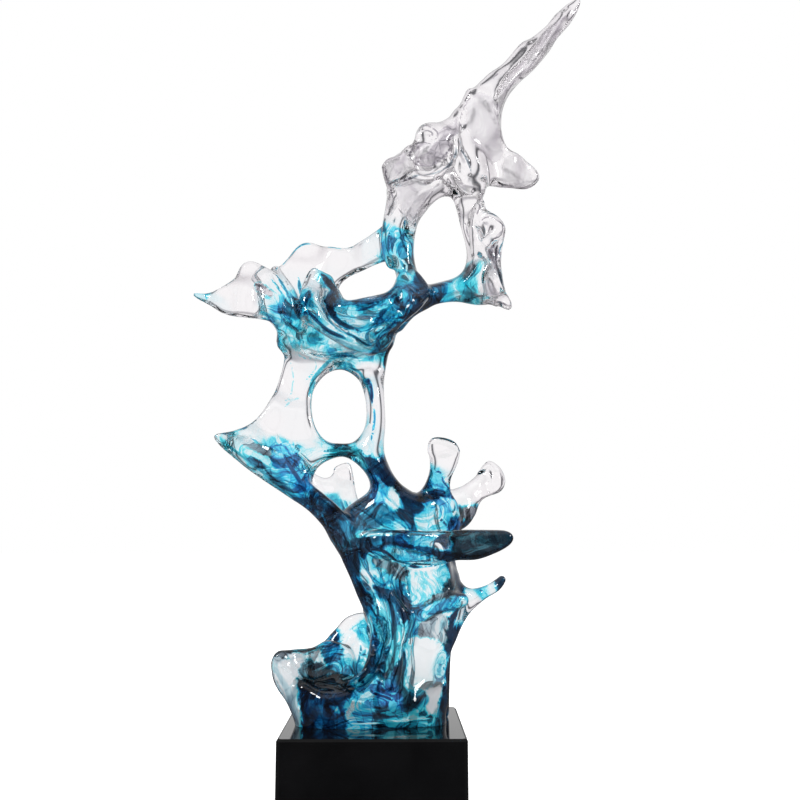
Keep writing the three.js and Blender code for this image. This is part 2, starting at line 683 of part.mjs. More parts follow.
// The place of least cost for a merged vertex, held near the middle of its edge where the surface is flat
function bestPlace(q, middle) {
  const hold = flatHold * (q[0] + q[4] + q[7]);
  const matrix = new THREE.Matrix3().set(
    q[0] + hold, q[1], q[2],
    q[1], q[4] + hold, q[5],
    q[2], q[5], q[7] + hold,
  );
  const right = middle.clone().multiplyScalar(hold).sub(new THREE.Vector3(q[3], q[6], q[8]));
  return right.applyMatrix3(matrix.invert());
}

// Merges the cheapest edges, a few from each neighbourhood in a round, until the wanted faces are left
function reduceFaces(surface, wanted) {
  const points = surface.points.map((point) => new THREE.Vector3(...point));
  const quadrics = points.map(() => new Array(10).fill(0));
  let faces = surface.faces;
  for (const face of faces) {
    const plane = planeQuadric(face.map((v) => points[v]));
    face.forEach((v) => plane.forEach((term, n) => { quadrics[v][n] += term; }));
  }
  while (faces.length > wanted) {
    const facesAt = points.map(() => []);
    faces.forEach((face, index) => face.forEach((v) => facesAt[v].push(index)));
    const neighbours = (v) => new Set(facesAt[v].flatMap((index) => faces[index]).filter((w) => w !== v));
    const edges = [];
    for (const face of faces) {
      for (let n = 0; n < 3; n += 1) {
        const [a, b] = [face[n], face[(n + 1) % 3]];
        if (a < b) {
          const quadric = quadrics[a].map((term, t) => term + quadrics[b][t]);
          const target = bestPlace(quadric, points[a].clone().lerp(points[b], 0.5));
          edges.push({ a, b, quadric, target, cost: quadricCost(quadric, target) });
        }
      }
    }
    edges.sort((one, two) => one.cost - two.cost);
    const locked = new Uint8Array(points.length);
    const gone = new Set();
    for (const { a, b, quadric, target } of edges.slice(0, Math.ceil(edges.length * roundShare))) {
      if (faces.length - gone.size <= wanted) {
        break;
      }
      const nearA = neighbours(a);
      const nearB = neighbours(b);
      const shared = [...nearA].filter((v) => nearB.has(v));
      const touched = [...facesAt[a], ...facesAt[b]].filter((index) => !gone.has(index));
      const kept = touched.filter((index) => !(faces[index].includes(a) && faces[index].includes(b)));
      const free = ![a, b, ...nearA, ...nearB].some((v) => locked[v]);
      const upright = kept.every((index) => staysUpright(points, faces[index], a, b, target));
      if (free && upright && shared.length === 2) {
        points[a] = target;
        quadrics[a] = quadric;
        touched.filter((index) => !kept.includes(index)).forEach((index) => gone.add(index));
        kept.forEach((index) => { faces[index] = faces[index].map((v) => (v === b ? a : v)); });
        [a, b, ...nearA, ...nearB].forEach((v) => { locked[v] = 1; });
      }
    }
    if (gone.size === 0) {
      break;
    }
    faces = faces.filter((face, index) => !gone.has(index));
  }
  return { points, faces };
}

// Whether a face still looks the same way after vertices a and b move to the target
function staysUpright(points, face, a, b, target) {
  const before = face.map((v) => points[v]);
  const after = face.map((v) => (v === a || v === b ? target : points[v]));
  const [was, is] = [before, after].map(([p, q, r]) => q.clone().sub(p).cross(r.clone().sub(p)));
  return was.dot(is) > uprightCosine * was.length() * is.length();
}

const wasm = await Module();
wasm.setup();

// A closed geometry as a solid for cutting and joining
function solidOf(geometry) {
  const bare = geometry.clone();
  const extras = Object.keys(bare.attributes).filter((name) => name !== 'position');
  extras.forEach((name) => bare.deleteAttribute(name));
  const merged = mergeVertices(bare, weldDistance);
  const vertProperties = new Float32Array(merged.attributes.position.array);
  const triVerts = new Uint32Array(merged.index.array);
  return new wasm.Manifold(new wasm.Mesh({ numProp: 3, vertProperties, triVerts }));
}

function geometryOf(solid) {
  const mesh = solid.getMesh();
  const geometry = new THREE.BufferGeometry();
  geometry.setAttribute('position', new THREE.BufferAttribute(new Float32Array(mesh.vertProperties), 3));
  geometry.setIndex([...mesh.triVerts]);
  geometry.computeVertexNormals();
  return geometry;
}

// A round bar standing on its foot height
function uprightBar(radius, foot, length, sides = roundSides) {
  return new THREE.CylinderGeometry(radius, radius, length, sides)
    .rotateX(Math.PI / 2)
    .translate(0, 0, foot + length / 2);
}

function cutBars(solid, bars) {
  return bars.reduce((rest, bar) => rest.subtract(solidOf(bar)), solid);
}

// The sculpture: webs, ribs and hollows blended into one skin, cut flat at the foot and bored for its inserts
function castSculpture() {
  const lattice = makeLattice();
  Object.values(webs).forEach((web) => addWeb(lattice, web));
  Object.values(ribs).forEach((chain) => addChain(lattice, lattice.mass, chain));
  Object.values(hollows).forEach((chain) => addChain(lattice, lattice.scoop, chain));
  const values = fillPinches(lattice, castingValues(lattice));
  const surface = reduceFaces(skinLattice(lattice, values), castingTriangles);
  const skin = new THREE.BufferGeometry().setFromPoints(surface.points);
  skin.setIndex(surface.faces.flat());
  const below = new THREE.BoxGeometry(4 * plinthWidth, 4 * plinthDepth, plinthHeight);
  below.translate(0, 0, -plinthHeight / 2);
  const boreDepth = insertLength + runningGap;
  const bores = boltPlaces.map(({ x, y }) => {
    return uprightBar(insertRadius + runningGap, -cutOverrun, boreDepth + cutOverrun).translate(x, y, 0);
  });
  const pieces = cutBars(solidOf(skin), [below, ...bores]).decompose();
  const [whole] = pieces.sort((one, two) => two.volume() - one.volume());
  return geometryOf(whole);
}

// The block: a square prism with small flats ground along every edge, drilled and counterbored from below
function plinthBlock() {
  const [x, y] = [plinthWidth / 2 - plinthChamfer, plinthDepth / 2 - plinthChamfer];
  const face = new THREE.Shape([
    new THREE.Vector2(-x + plinthChamfer, -y), new THREE.Vector2(x - plinthChamfer, -y),
    new THREE.Vector2(x, -y + plinthChamfer), new THREE.Vector2(x, y - plinthChamfer),
    new THREE.Vector2(x - plinthChamfer, y), new THREE.Vector2(-x + plinthChamfer, y),
    new THREE.Vector2(-x, y - plinthChamfer), new THREE.Vector2(-x, -y + plinthChamfer),
  ]);
  const block = new THREE.ExtrudeGeometry(face, {
    depth: plinthHeight - 2 * plinthChamfer,
    bevelThickness: plinthChamfer,
    bevelSize: plinthChamfer,
    bevelSegments: 1,
  }).translate(0, 0, plinthUnderside + plinthChamfer);
  const start = plinthUnderside - cutOverrun;
  const holes = boltPlaces.flatMap((place) => [
    uprightBar(counterboreRadius, start, counterboreDepth + cutOverrun).translate(place.x, place.y, 0),
    uprightBar(shankHoleRadius, start, plinthHeight + 2 * cutOverrun).translate(place.x, place.y, 0),
  ]);
  return geometryOf(cutBars(solidOf(block), holes));
}

// The felt: one die-cut square with rounded corners, glued under the block over the screw heads
function feltSheet() {
  const [x, y, r] = [plinthWidth / 2 - feltInset, plinthDepth / 2 - feltInset, feltCornerRadius];
  const sheet = new THREE.Shape();
  sheet.absarc(x - r, y - r, r, 0, Math.PI / 2);
  sheet.absarc(-x + r, y - r, r, Math.PI / 2, Math.PI);
  sheet.absarc(-x + r, -y + r, r, Math.PI, 1.5 * Math.PI);
  sheet.absarc(x - r, -y + r, r, 1.5 * Math.PI, 2 * Math.PI);
  const options = { depth: feltThickness, bevelEnabled: false, curveSegments: feltCornerSides };
  return new THREE.ExtrudeGeometry(sheet, options);
}

// A piece turned round +Z from a profile of [radius, height]
function turned(profile) {
  const outline = profile.map(([radius, height]) => new THREE.Vector2(radius, height));
  return new THREE.LatheGeometry(outline, roundSides).rotateX(Math.PI / 2);
}

// A socket-head screw, head down: its seat is at z = 0 and its shank points up
function socketScrew(shankLength) {
  const bar = turned([
    [0, -screwHeadHeight],
    [screwHeadRadius - turnedEdge, -screwHeadHeight],
    [screwHeadRadius, -screwHeadHeight + turnedEdge],
    [screwHeadRadius, 0],
    [screwRadius, 0],
    [screwRadius, shankLength - turnedEdge],
    [screwRadius - turnedEdge, shankLength],
    [0, shankLength],
  ]);
  const foot = -screwHeadHeight - cutOverrun;
  const socket = uprightBar(socketAcrossCorners / 2, foot, socketDepth + cutOverrun, 6);
  return geometryOf(cutBars(solidOf(bar), [socket]));
}

// A flat ring standing on z = 0
function flatRing(outer, inner, height) {
  return turned([[inner, 0], [outer, 0], [outer, height], [inner, height], [inner, 0]]);
}

// An insert moulded into the foot, with a groove round its middle that the resin could grip
function threadedInsert() {
  const bore = screwRadius + runningGap;
  const grooveFoot = (insertLength - insertGrooveWidth) / 2;
  const grooveTop = grooveFoot + insertGrooveWidth;
  return turned([
    [bore, 0],
    [insertRadius, 0],
    [insertRadius, grooveFoot - insertGrooveSlope],
    [insertRadius - insertGroove, grooveFoot],
    [insertRadius - insertGroove, grooveTop],
    [insertRadius, grooveTop + insertGrooveSlope],
    [insertRadius, insertLength],
    [bore, insertLength],
    [bore, 0],
  ]);
}

const clearResin = new THREE.MeshStandardMaterial({ color: 0x2aa6c4, roughness: 0.05, metalness: 0 });
const polishedBlack = new THREE.MeshStandardMaterial({ color: 0x07080a, roughness: 0.06, metalness: 0 });
const blackFelt = new THREE.MeshStandardMaterial({ color: 0x15161a, roughness: 1, metalness: 0 });
const steel = new THREE.MeshStandardMaterial({ color: 0xa9abad, roughness: 0.35, metalness: 1 });
const brass = new THREE.MeshStandardMaterial({ color: 0xb8934a, roughness: 0.35, metalness: 1 });

const sculpture = new THREE.Group();

function place(name, geometry, material, { x, y }, z) {
  const mesh = new THREE.Mesh(geometry, material);
  mesh.name = name;
  mesh.position.set(x, y, z);
  sculpture.add(mesh);
}

const middle = { x: 0, y: 0 };
place('resin_sculpture', castSculpture(), clearResin, middle, plinthTop);
place('plinth', plinthBlock(), polishedBlack, middle, 0);
place('felt_pad', feltSheet(), blackFelt, middle, 0);

// Each screw's head bears on its washer at the end of the counterbore. Its shank reaches up into the insert.
const headSeat = washerSeat - washerThickness;
const shankLength = plinthTop + threadEngagement - headSeat;
boltPlaces.forEach((bolt, index) => {
  const side = ['left', 'right'][index];
  const washer = flatRing(washerRadius, screwRadius + runningGap, washerThickness);
  place(`washer_${side}`, washer, steel, bolt, headSeat);
  place(`fixing_screw_${side}`, socketScrew(shankLength), steel, bolt, headSeat);
  place(`threaded_insert_${side}`, threadedInsert(), brass, bolt, plinthTop);
});

export default sculpture;
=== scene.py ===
import math

import bmesh
import bpy
import numpy as np
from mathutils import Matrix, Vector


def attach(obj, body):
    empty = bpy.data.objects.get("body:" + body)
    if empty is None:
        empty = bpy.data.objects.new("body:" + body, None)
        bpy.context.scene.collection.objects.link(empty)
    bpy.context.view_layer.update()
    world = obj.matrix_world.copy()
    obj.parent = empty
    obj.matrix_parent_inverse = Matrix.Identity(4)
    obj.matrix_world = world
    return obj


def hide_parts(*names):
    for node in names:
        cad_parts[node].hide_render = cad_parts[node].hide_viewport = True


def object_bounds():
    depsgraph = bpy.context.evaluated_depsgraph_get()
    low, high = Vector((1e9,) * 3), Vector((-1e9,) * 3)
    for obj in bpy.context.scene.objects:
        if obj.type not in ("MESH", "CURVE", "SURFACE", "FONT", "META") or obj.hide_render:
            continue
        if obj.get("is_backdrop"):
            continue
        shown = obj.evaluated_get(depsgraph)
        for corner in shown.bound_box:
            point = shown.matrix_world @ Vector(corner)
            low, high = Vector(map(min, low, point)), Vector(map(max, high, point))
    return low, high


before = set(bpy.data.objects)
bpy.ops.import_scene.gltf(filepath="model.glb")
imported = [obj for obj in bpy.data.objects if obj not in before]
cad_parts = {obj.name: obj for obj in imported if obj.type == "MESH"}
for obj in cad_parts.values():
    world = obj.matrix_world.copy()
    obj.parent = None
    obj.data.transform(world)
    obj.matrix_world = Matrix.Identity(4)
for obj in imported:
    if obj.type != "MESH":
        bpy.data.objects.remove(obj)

import openvdb
from mathutils import Vector

cad_low, cad_high = (list(corner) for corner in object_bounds())

# The camera stands in front of the block, a little right of its middle and 0.23 m above the table,
# tilted up so that the blade's tip just touches the top of the picture.
EYE = (0.0158, -0.868, 0.2275)
TURN_RIGHT = 0.0076
TILT_UP = 0.138
LENS_MM = 44.19
SENSOR_MM = 36
NEAREST_SEEN = 0.05


def put(name, data):
    thing = bpy.data.objects.new(name, data)
    bpy.context.collection.objects.link(thing)
    return thing


camera = put("camera", bpy.data.cameras.new("camera"))
camera.data.sensor_width = SENSOR_MM
camera.data.lens = LENS_MM
camera.data.clip_start = NEAREST_SEEN
camera.location = EYE
camera.rotation_euler = (math.pi / 2 + TILT_UP, 0, -TURN_RIGHT)
bpy.context.scene.camera = camera

# The sculpture is one casting of clear polyester resin, poured in layers with blue ink swirled into
# the lower ones, then flame-polished. In millimetres from the block's top, a web has edges (x, z) and
# stations (x, z, depth, half thickness); ribs, hollows and folds go by (x, depth, z, radius).
PLINTH_TOP_MM = 71
REST_GAP_MM = 0.15
HAIR_MM = 0.02
WAIST_WINDOW = [
    (-31, 305), (-17, 298), (-8, 284), (-5, 269), (-8, 251), (-18, 238), (-30, 234), (-42, 239),
    (-52, 252), (-56, 269), (-55, 286), (-45, 300),
]
LOWER_WINDOW = [
    (-28, 227), (-15, 223), (-6, 210), (-3, 198), (-7, 183), (-18, 173), (-29, 171), (-43, 177),
    (-51, 188), (-54, 201), (-50, 215), (-40, 223),
]
MIDDLE_WINDOW = [
    (-33, 385), (-24, 395), (-10, 400), (4, 405), (11, 406), (19, 398), (21, 387), (13, 376), (-7, 372),
    (-21, 369), (-31, 374),
]
UPPER_WINDOW = [
    (63, 470), (53, 466), (43, 449), (37, 431), (35, 405), (42, 385), (61, 385), (80, 396), (85, 417),
    (79, 444), (72, 468),
]
WEBS = {
    "blade": ([
        (197, 677), (199, 669), (187, 647), (173, 630), (162, 612), (149, 594), (128, 574), (118, 554),
        (115, 539), (124, 521), (139, 515), (153, 506), (157, 496), (147, 487), (124, 483), (100, 481),
        (83, 474), (73, 500), (71, 543), (83, 552), (91, 568), (105, 584), (122, 600), (138, 620),
        (157, 637), (167, 646), (181, 666),
    ], [], [
        (193, 667, 26, 4.2), (169, 634, 18, 5), (137, 599, 4, 6.5), (106, 563, -4, 8.5),
        (97, 530, 0, 9), (122, 504, 20, 7.5), (150, 497, 34, 6), (82, 495, -2, 12),
    ]),
    "head": ([
        (87, 568), (76, 546), (62, 537), (48, 532), (39, 525), (35, 511), (23, 500), (9, 489), (7, 478),
        (13, 460), (19, 444), (39, 447), (50, 458), (66, 469), (87, 470), (101, 476), (95, 502),
        (91, 538),
    ], [], [
        (11, 482, -30, 7), (30, 495, -14, 13), (57, 508, -2, 20), (80, 512, 2, 16), (80, 546, -4, 9),
        (50, 471, -4, 15), (87, 479, 6, 13),
    ]),
    "neck": ([
        (18, 469), (12, 452), (8, 437), (11, 416), (21, 399), (23, 369), (22, 342), (34, 355),
        (50, 367), (68, 371), (89, 371), (103, 374), (102, 407), (91, 429), (88, 446), (97, 462),
        (99, 476), (84, 489), (50, 490), (27, 482),
    ], [UPPER_WINDOW], [
        (22, 450, -10, 12), (21, 409, -4, 13), (27, 378, 2, 18), (59, 380, 8, 9), (87, 385, 8, 8),
        (87, 434, 14, 6.5), (86, 467, 12, 9), (59, 477, 0, 14),
    ]),
    "fin_right": ([
        (95, 460), (102, 451), (111, 443), (117, 432), (116, 416), (114, 396), (115, 376), (121, 358),
        (117, 353), (101, 362), (84, 370), (77, 381), (86, 397), (89, 416), (89, 435), (90, 450),
    ], [], [
        (111, 434, -12, 6), (96, 431, 6, 7), (99, 406, 2, 9), (117, 355, -30, 4.2), (91, 375, 6, 7),
        (110, 383, -16, 5.5),
    ]),
    "wave": ([
        (-104, 392), (-87, 409), (-76, 427), (-64, 433), (-45, 426), (-28, 423), (-12, 427), (5, 438),
        (17, 444), (27, 421), (38, 384), (49, 367), (33, 355), (21, 341), (10, 323), (-32, 317),
        (-83, 322), (-88, 340), (-97, 351), (-107, 359), (-112, 374),
    ], [MIDDLE_WINDOW], [
        (-64, 429, 34, 5), (-73, 393, 24, 5.5), (-33, 415, 20, 6), (-1, 426, 6, 7.5), (27, 392, 0, 15),
        (22, 359, -2, 18), (-23, 351, 4, 10), (-68, 336, 0, 12), (-98, 374, 6, 8), (-41, 327, 2, 14),
    ]),
    "fin_left": ([
        (-157, 363), (-147, 364), (-138, 369), (-128, 378), (-123, 395), (-117, 402), (-108, 402),
        (-96, 394), (-81, 383), (-70, 363), (-81, 344), (-95, 347), (-103, 347), (-114, 347),
        (-130, 348), (-142, 354), (-151, 358),
    ], [], [
        (-154, 362, -46, 3.6), (-133, 363, -34, 5), (-117, 398, -6, 4.5), (-114, 362, -24, 7),
        (-90, 366, -8, 9), (-77, 363, -2, 11),
    ]),
    "bowl": ([
        (-56, 393), (-44, 388), (-34, 375), (-25, 357), (-6, 362), (14, 370), (21, 387), (37, 392),
        (49, 375), (43, 359), (31, 347), (20, 336), (10, 320), (-6, 314), (-28, 323), (-49, 336),
        (-65, 350), (-64, 376),
    ], [], [
        (-44, 378, -16, 6.5), (-51, 357, -30, 6.5), (-25, 346, -50, 6), (-8, 333, -46, 7.5),
        (12, 348, -40, 7), (27, 363, -24, 10), (9, 327, -16, 13), (36, 380, -8, 11), (-34, 330, -28, 8),
    ]),
    "waist": ([
        (-83, 337), (-81, 321), (-86, 298), (-95, 271), (-109, 253), (-120, 245), (-136, 241),
        (-124, 227), (-102, 209), (-75, 191), (-55, 177), (-34, 153), (-23, 131), (-10, 102), (-2, 81),
        (31, 94), (50, 132), (57, 166), (34, 191), (21, 202), (13, 217), (8, 234), (9, 258), (8, 289),
        (12, 321), (10, 333), (-36, 346),
    ], [WAIST_WINDOW, LOWER_WINDOW], [
        (-134, 241, -40, 3.8), (-111, 234, -26, 6.5), (-93, 259, -12, 5.5), (-82, 303, 6, 5),
        (-65, 291, 4, 6.5), (-68, 328, 4, 11), (-3, 318, 0, 11), (3, 267, -10, 8.5), (0, 231, -10, 12),
        (-30, 230, -14, 8), (-66, 248, -6, 6.5), (-77, 205, -16, 12), (-38, 162, -14, 16),
        (14, 188, -6, 18), (22, 153, -4, 22), (-12, 123, -6, 20), (5, 102, -4, 24),
    ]),
    "fin_back": ([
        (-73, 226), (-56, 214), (-46, 210), (-40, 213), (-38, 220), (-30, 224), (-23, 223), (-19, 206),
        (-15, 186), (-4, 169), (0, 149), (-26, 149), (-49, 173), (-66, 192),
    ], [], [
        (-29, 219, 44, 4.6), (-49, 201, 38, 5.5), (-23, 189, 34, 6.5), (-27, 162, 16, 13),
        (-63, 189, 16, 9),
    ]),
    "trunk": ([
        (-39, 160), (-21, 135), (-10, 111), (-4, 85), (0, 60), (-7, 26), (-20, -25), (27, -29),
        (58, -26), (58, 25), (61, 54), (70, 83), (76, 98), (70, 114), (67, 134), (65, 162), (59, 181),
        (40, 186), (9, 197), (-21, 184),
    ], [], [
        (-25, 153, -6, 17), (-4, 119, -6, 22), (31, 171, -2, 22), (57, 136, 2, 20), (22, 102, -2, 26),
        (62, 93, 6, 18), (14, 60, -2, 28), (57, 50, 8, 17), (5, 18, 0, 33), (48, 9, 4, 27),
    ]),
    "lip": ([
        (-27, 151), (-16, 158), (2, 161), (22, 162), (47, 161), (71, 162), (96, 162), (111, 161),
        (116, 155), (109, 147), (87, 138), (68, 137), (55, 133), (34, 131), (15, 136), (-1, 143),
        (-19, 143),
    ], [], [
        (-21, 149, -16, 8), (5, 149, -34, 9), (34, 145, -50, 8.5), (63, 149, -56, 9.5),
        (87, 151, -58, 8.5), (109, 154, -56, 6.5),
    ]),
    "spike": ([
        (58, 136), (73, 125), (76, 117), (85, 111), (99, 113), (110, 119), (115, 122), (119, 118),
        (113, 109), (99, 101), (86, 91), (78, 81), (66, 63), (49, 67), (44, 110),
    ], [], [
        (116, 119, 30, 4.6), (99, 109, 24, 5.4), (83, 103, 14, 7), (62, 101, 6, 12), (62, 76, 6, 10),
    ]),
    "lobe_a": ([
        (21, 195), (35, 191), (43, 199), (48, 212), (48, 223), (47, 234), (50, 240), (59, 240),
        (70, 236), (74, 228), (72, 218), (67, 206), (67, 195), (74, 181), (70, 158), (22, 162),
    ], [], [
        (60, 235, -34, 6.5), (61, 220, -26, 8), (57, 203, -14, 9), (49, 184, -6, 15), (35, 171, -4, 18),
    ]),
    "lobe_b": ([
        (58, 196), (72, 199), (83, 204), (93, 212), (99, 221), (106, 226), (116, 219), (120, 207),
        (115, 197), (102, 192), (95, 186), (90, 175), (80, 164), (58, 158), (54, 180),
    ], [], [
        (107, 217, 36, 6.5), (108, 202, 30, 7), (89, 201, 22, 8), (78, 189, 14, 10), (71, 171, 6, 13),
    ]),
    "foot_left": ([
        (-60, -23), (-64, -3), (-71, 14), (-84, 32), (-88, 49), (-83, 59), (-72, 60), (-54, 61),
        (-40, 67), (-21, 59), (-16, 34), (-11, -24),
    ], [], [
        (-84, 52, -6, 6), (-77, 32, -10, 9), (-65, 7, -10, 13), (-60, 55, 6, 7), (-38, 50, 10, 9),
        (-33, 19, -6, 22),
    ]),
    "foot_back": ([
        (-57, 48), (-44, 65), (-33, 77), (-25, 85), (-11, 89), (1, 84), (9, 57), (5, 24), (-2, -28),
        (-45, -28),
    ], [], [
        (-20, 82, 32, 6), (-35, 65, 28, 7), (-17, 53, 22, 11), (-21, 16, 12, 20),
    ]),
    "foot_front": ([
        (-63, 1), (-68, 20), (-60, 36), (-41, 30), (-23, 34), (-10, 40), (0, 44), (16, 34), (35, 25),
        (56, 31), (59, 19), (59, -23), (22, -25), (-19, -24), (-59, -21),
    ], [], [
        (-60, 20, -16, 9), (-40, 18, -24, 10), (-19, 14, -24, 12), (10, 17, -20, 14), (48, 11, -8, 18),
        (-7, 34, -24, 9),
    ]),
}
RIBS = {
    "blade_rib": [
        (95, -10, 560, 4), (109, -9, 557, 3.6), (126, -5, 578, 3.4), (151, 4, 605, 3.2),
        (167, 12, 632, 3), (179, 19, 654, 2.6),
    ],
    "head_rim": [
        (32, -24, 476, 4.5), (49, -28, 474, 4.5), (63, -28, 482, 4), (72, -26, 498, 4.5),
        (72, -20, 514, 4.5), (59, -14, 522, 4),
    ],
    "head_knob": [(48, -10, 523, 7.5), (45, -16, 515, 6)],
    "head_curl": [(32, -20, 501, 4), (29, -24, 489, 4), (35, -24, 479, 4)],
    "head_core": [(39, -12, 501, 5), (51, -16, 495, 6), (59, -12, 504, 4)],
    "eye_rim": [
        (96, -2, 446, 3.6), (91, -6, 432, 4), (95, -8, 416, 4.5), (104, -12, 422, 3.6),
        (112, -12, 432, 3.6), (105, -8, 441, 3.4), (96, -2, 446, 3.6),
    ],
    "fin_rib": [(96, -8, 413, 4.5), (102, -6, 402, 4), (108, -10, 385, 3.4), (112, -12, 373, 3.4)],
    "neck_fold": [(19, -14, 458, 5), (15, -14, 439, 4), (10, -12, 419, 4.5), (15, -12, 400, 5)],
    "neck_brace": [(45, -16, 476, 5), (27, -16, 462, 5), (20, -12, 455, 4)],
    "arm_right": [(46, 0, 371, 6.5), (63, 2, 376, 7), (82, 2, 378, 7)],
    "fold_one": [(-97, -4, 389, 4), (-86, -12, 368, 4.2), (-75, -18, 348, 4.5), (-65, -20, 338, 4.5)],
    "fold_two": [
        (-91, 6, 398, 4), (-76, -10, 373, 3.8), (-66, -20, 354, 4.2), (-55, -26, 346, 4),
        (-38, -34, 333, 4.2), (-21, -34, 325, 4.6), (-6, -24, 319, 5),
    ],
    "crescent": [
        (-42, -22, 381, 4.2), (-41, -36, 361, 4.4), (-34, -46, 344, 4.2), (-25, -50, 334, 3.4),
    ],
    "ring_lip": [
        (-37, -26, 369, 3.6), (-27, -46, 350, 3.6), (-9, -48, 351, 3.8), (10, -42, 358, 4),
        (24, -26, 373, 4.5),
    ],
    "bowl_keel": [(-21, -36, 323, 4), (-2, -44, 324, 4.4), (15, -38, 340, 4.6), (29, -28, 359, 5)],
    "spine": [(-6, -12, 297, 5), (-1, -14, 275, 5), (1, -16, 248, 5.4), (-4, -18, 229, 6)],
    "bridge": [
        (-65, -14, 229, 4), (-43, -16, 230, 3.7), (-25, -18, 231, 3.9), (-5, -18, 220, 6),
        (9, -18, 206, 7), (24, -18, 188, 7.5), (44, -18, 181, 8),
    ],
    "wing_keel": [
        (-121, -36, 236, 4), (-96, -30, 219, 5), (-68, -26, 203, 6), (-37, -26, 180, 6),
        (-15, -24, 154, 6.5),
    ],
    "flute_one": [
        (-10, -24, 140, 6), (10, -30, 127, 6), (21, -32, 107, 6.5), (25, -32, 83, 6.5),
        (24, -32, 59, 6), (17, -32, 37, 6),
    ],
    "flute_two": [
        (-19, -20, 137, 6), (-7, -24, 110, 7), (4, -28, 83, 7), (1, -32, 59, 6), (-9, -36, 42, 5.5),
        (-27, -40, 35, 5),
    ],
    "sill": [(43, -18, 93, 6), (61, -14, 101, 6), (76, -8, 102, 6)],
    "heel": [(63, 0, 68, 5), (58, -4, 43, 5.5), (57, -6, 19, 6.5)],
    "spine_back": [
        (-23, 30, 184, 5.5), (-6, 30, 168, 8), (9, 30, 139, 8), (16, 32, 100, 7), (15, 34, 56, 8),
        (10, 36, 12, 9),
    ],
    "rib_back": [(55, 16, 182, 7), (64, 22, 146, 7), (68, 20, 101, 6), (62, 20, 57, 6), (59, 22, 4, 7)],
    "blade_back": [
        (114, 10, 537, 3.6), (117, 8, 559, 3.4), (129, 11, 581, 3.4), (146, 14, 602, 3.2),
        (163, 21, 626, 2.8),
    ],
    "tab_back": [(96, 11, 515, 4), (112, 21, 511, 3.8), (127, 27, 504, 3.6), (142, 34, 498, 3)],
    "head_back": [
        (14, -17, 479, 4.4), (22, -8, 498, 5), (39, 7, 513, 5), (56, 13, 516, 5), (70, 15, 507, 5),
        (75, 20, 493, 5), (96, 16, 482, 4),
    ],
    "head_back_two": [(45, 8, 531, 4), (60, 11, 535, 4.4), (75, 9, 536, 5), (84, 5, 550, 4)],
    "neck_back": [
        (15, -8, 469, 4), (20, 0, 449, 5), (19, 11, 428, 5), (26, 11, 403, 5), (32, 18, 382, 6),
        (21, 18, 358, 6),
    ],
    "arm_back": [(35, 18, 373, 5), (56, 12, 381, 4.6), (80, 14, 386, 4.4), (100, 10, 379, 3.8)],
    "wave_back": [(-53, 21, 368, 5.5), (-27, 14, 355, 6), (0, 17, 359, 6), (23, 18, 371, 6)],
    "wave_back_three": [
        (-103, 13, 386, 3.6), (-91, 13, 366, 4.6), (-76, 12, 343, 5), (-52, 15, 330, 5.4),
        (-23, 14, 329, 5.4), (1, 13, 338, 5),
    ],
    "wing_back": [(-119, -25, 242, 3.4), (-101, -17, 239, 4.2), (-81, -6, 230, 5), (-68, 0, 216, 5)],
}
HOLLOWS = {
    "head_cup": [(47, -34, 490, 15), (58, -34, 495, 13)],
    "head_back_cup": [(57, 38, 516, 17)],
    "eye": [(101, -20, 428, 6)],
    "fin_cup": [(-97, -26, 373, 9)],
    "bowl_cup": [(-22, -12, 375, 9), (0, -12, 381, 9)],
    "bowl_inside": [(-23, 10, 366, 10), (-4, -12, 355, 12), (12, -4, 362, 10)],
    "window_high": [(7, -40, 125, 11), (15, -40, 121, 9)],
    "window_mid": [(39, -32, 115, 20), (52, -30, 117, 16)],
    "window_low": [(44, -32, 61, 19), (44, -33, 42, 17)],
    "back_high": [(48, 44, 124, 15), (50, 44, 108, 15)],
    "back_low": [(42, 48, 54, 17), (36, 52, 18, 15)],
    "foot_cup": [(-46, -26, 48, 14), (-28, -30, 48, 16), (-18, -24, 62, 12)],
    "lobe_cup": [(107, 2, 208, 6)],
    "lip_cup": [(18, -58, 144, 9), (42, -62, 141, 9)],
}
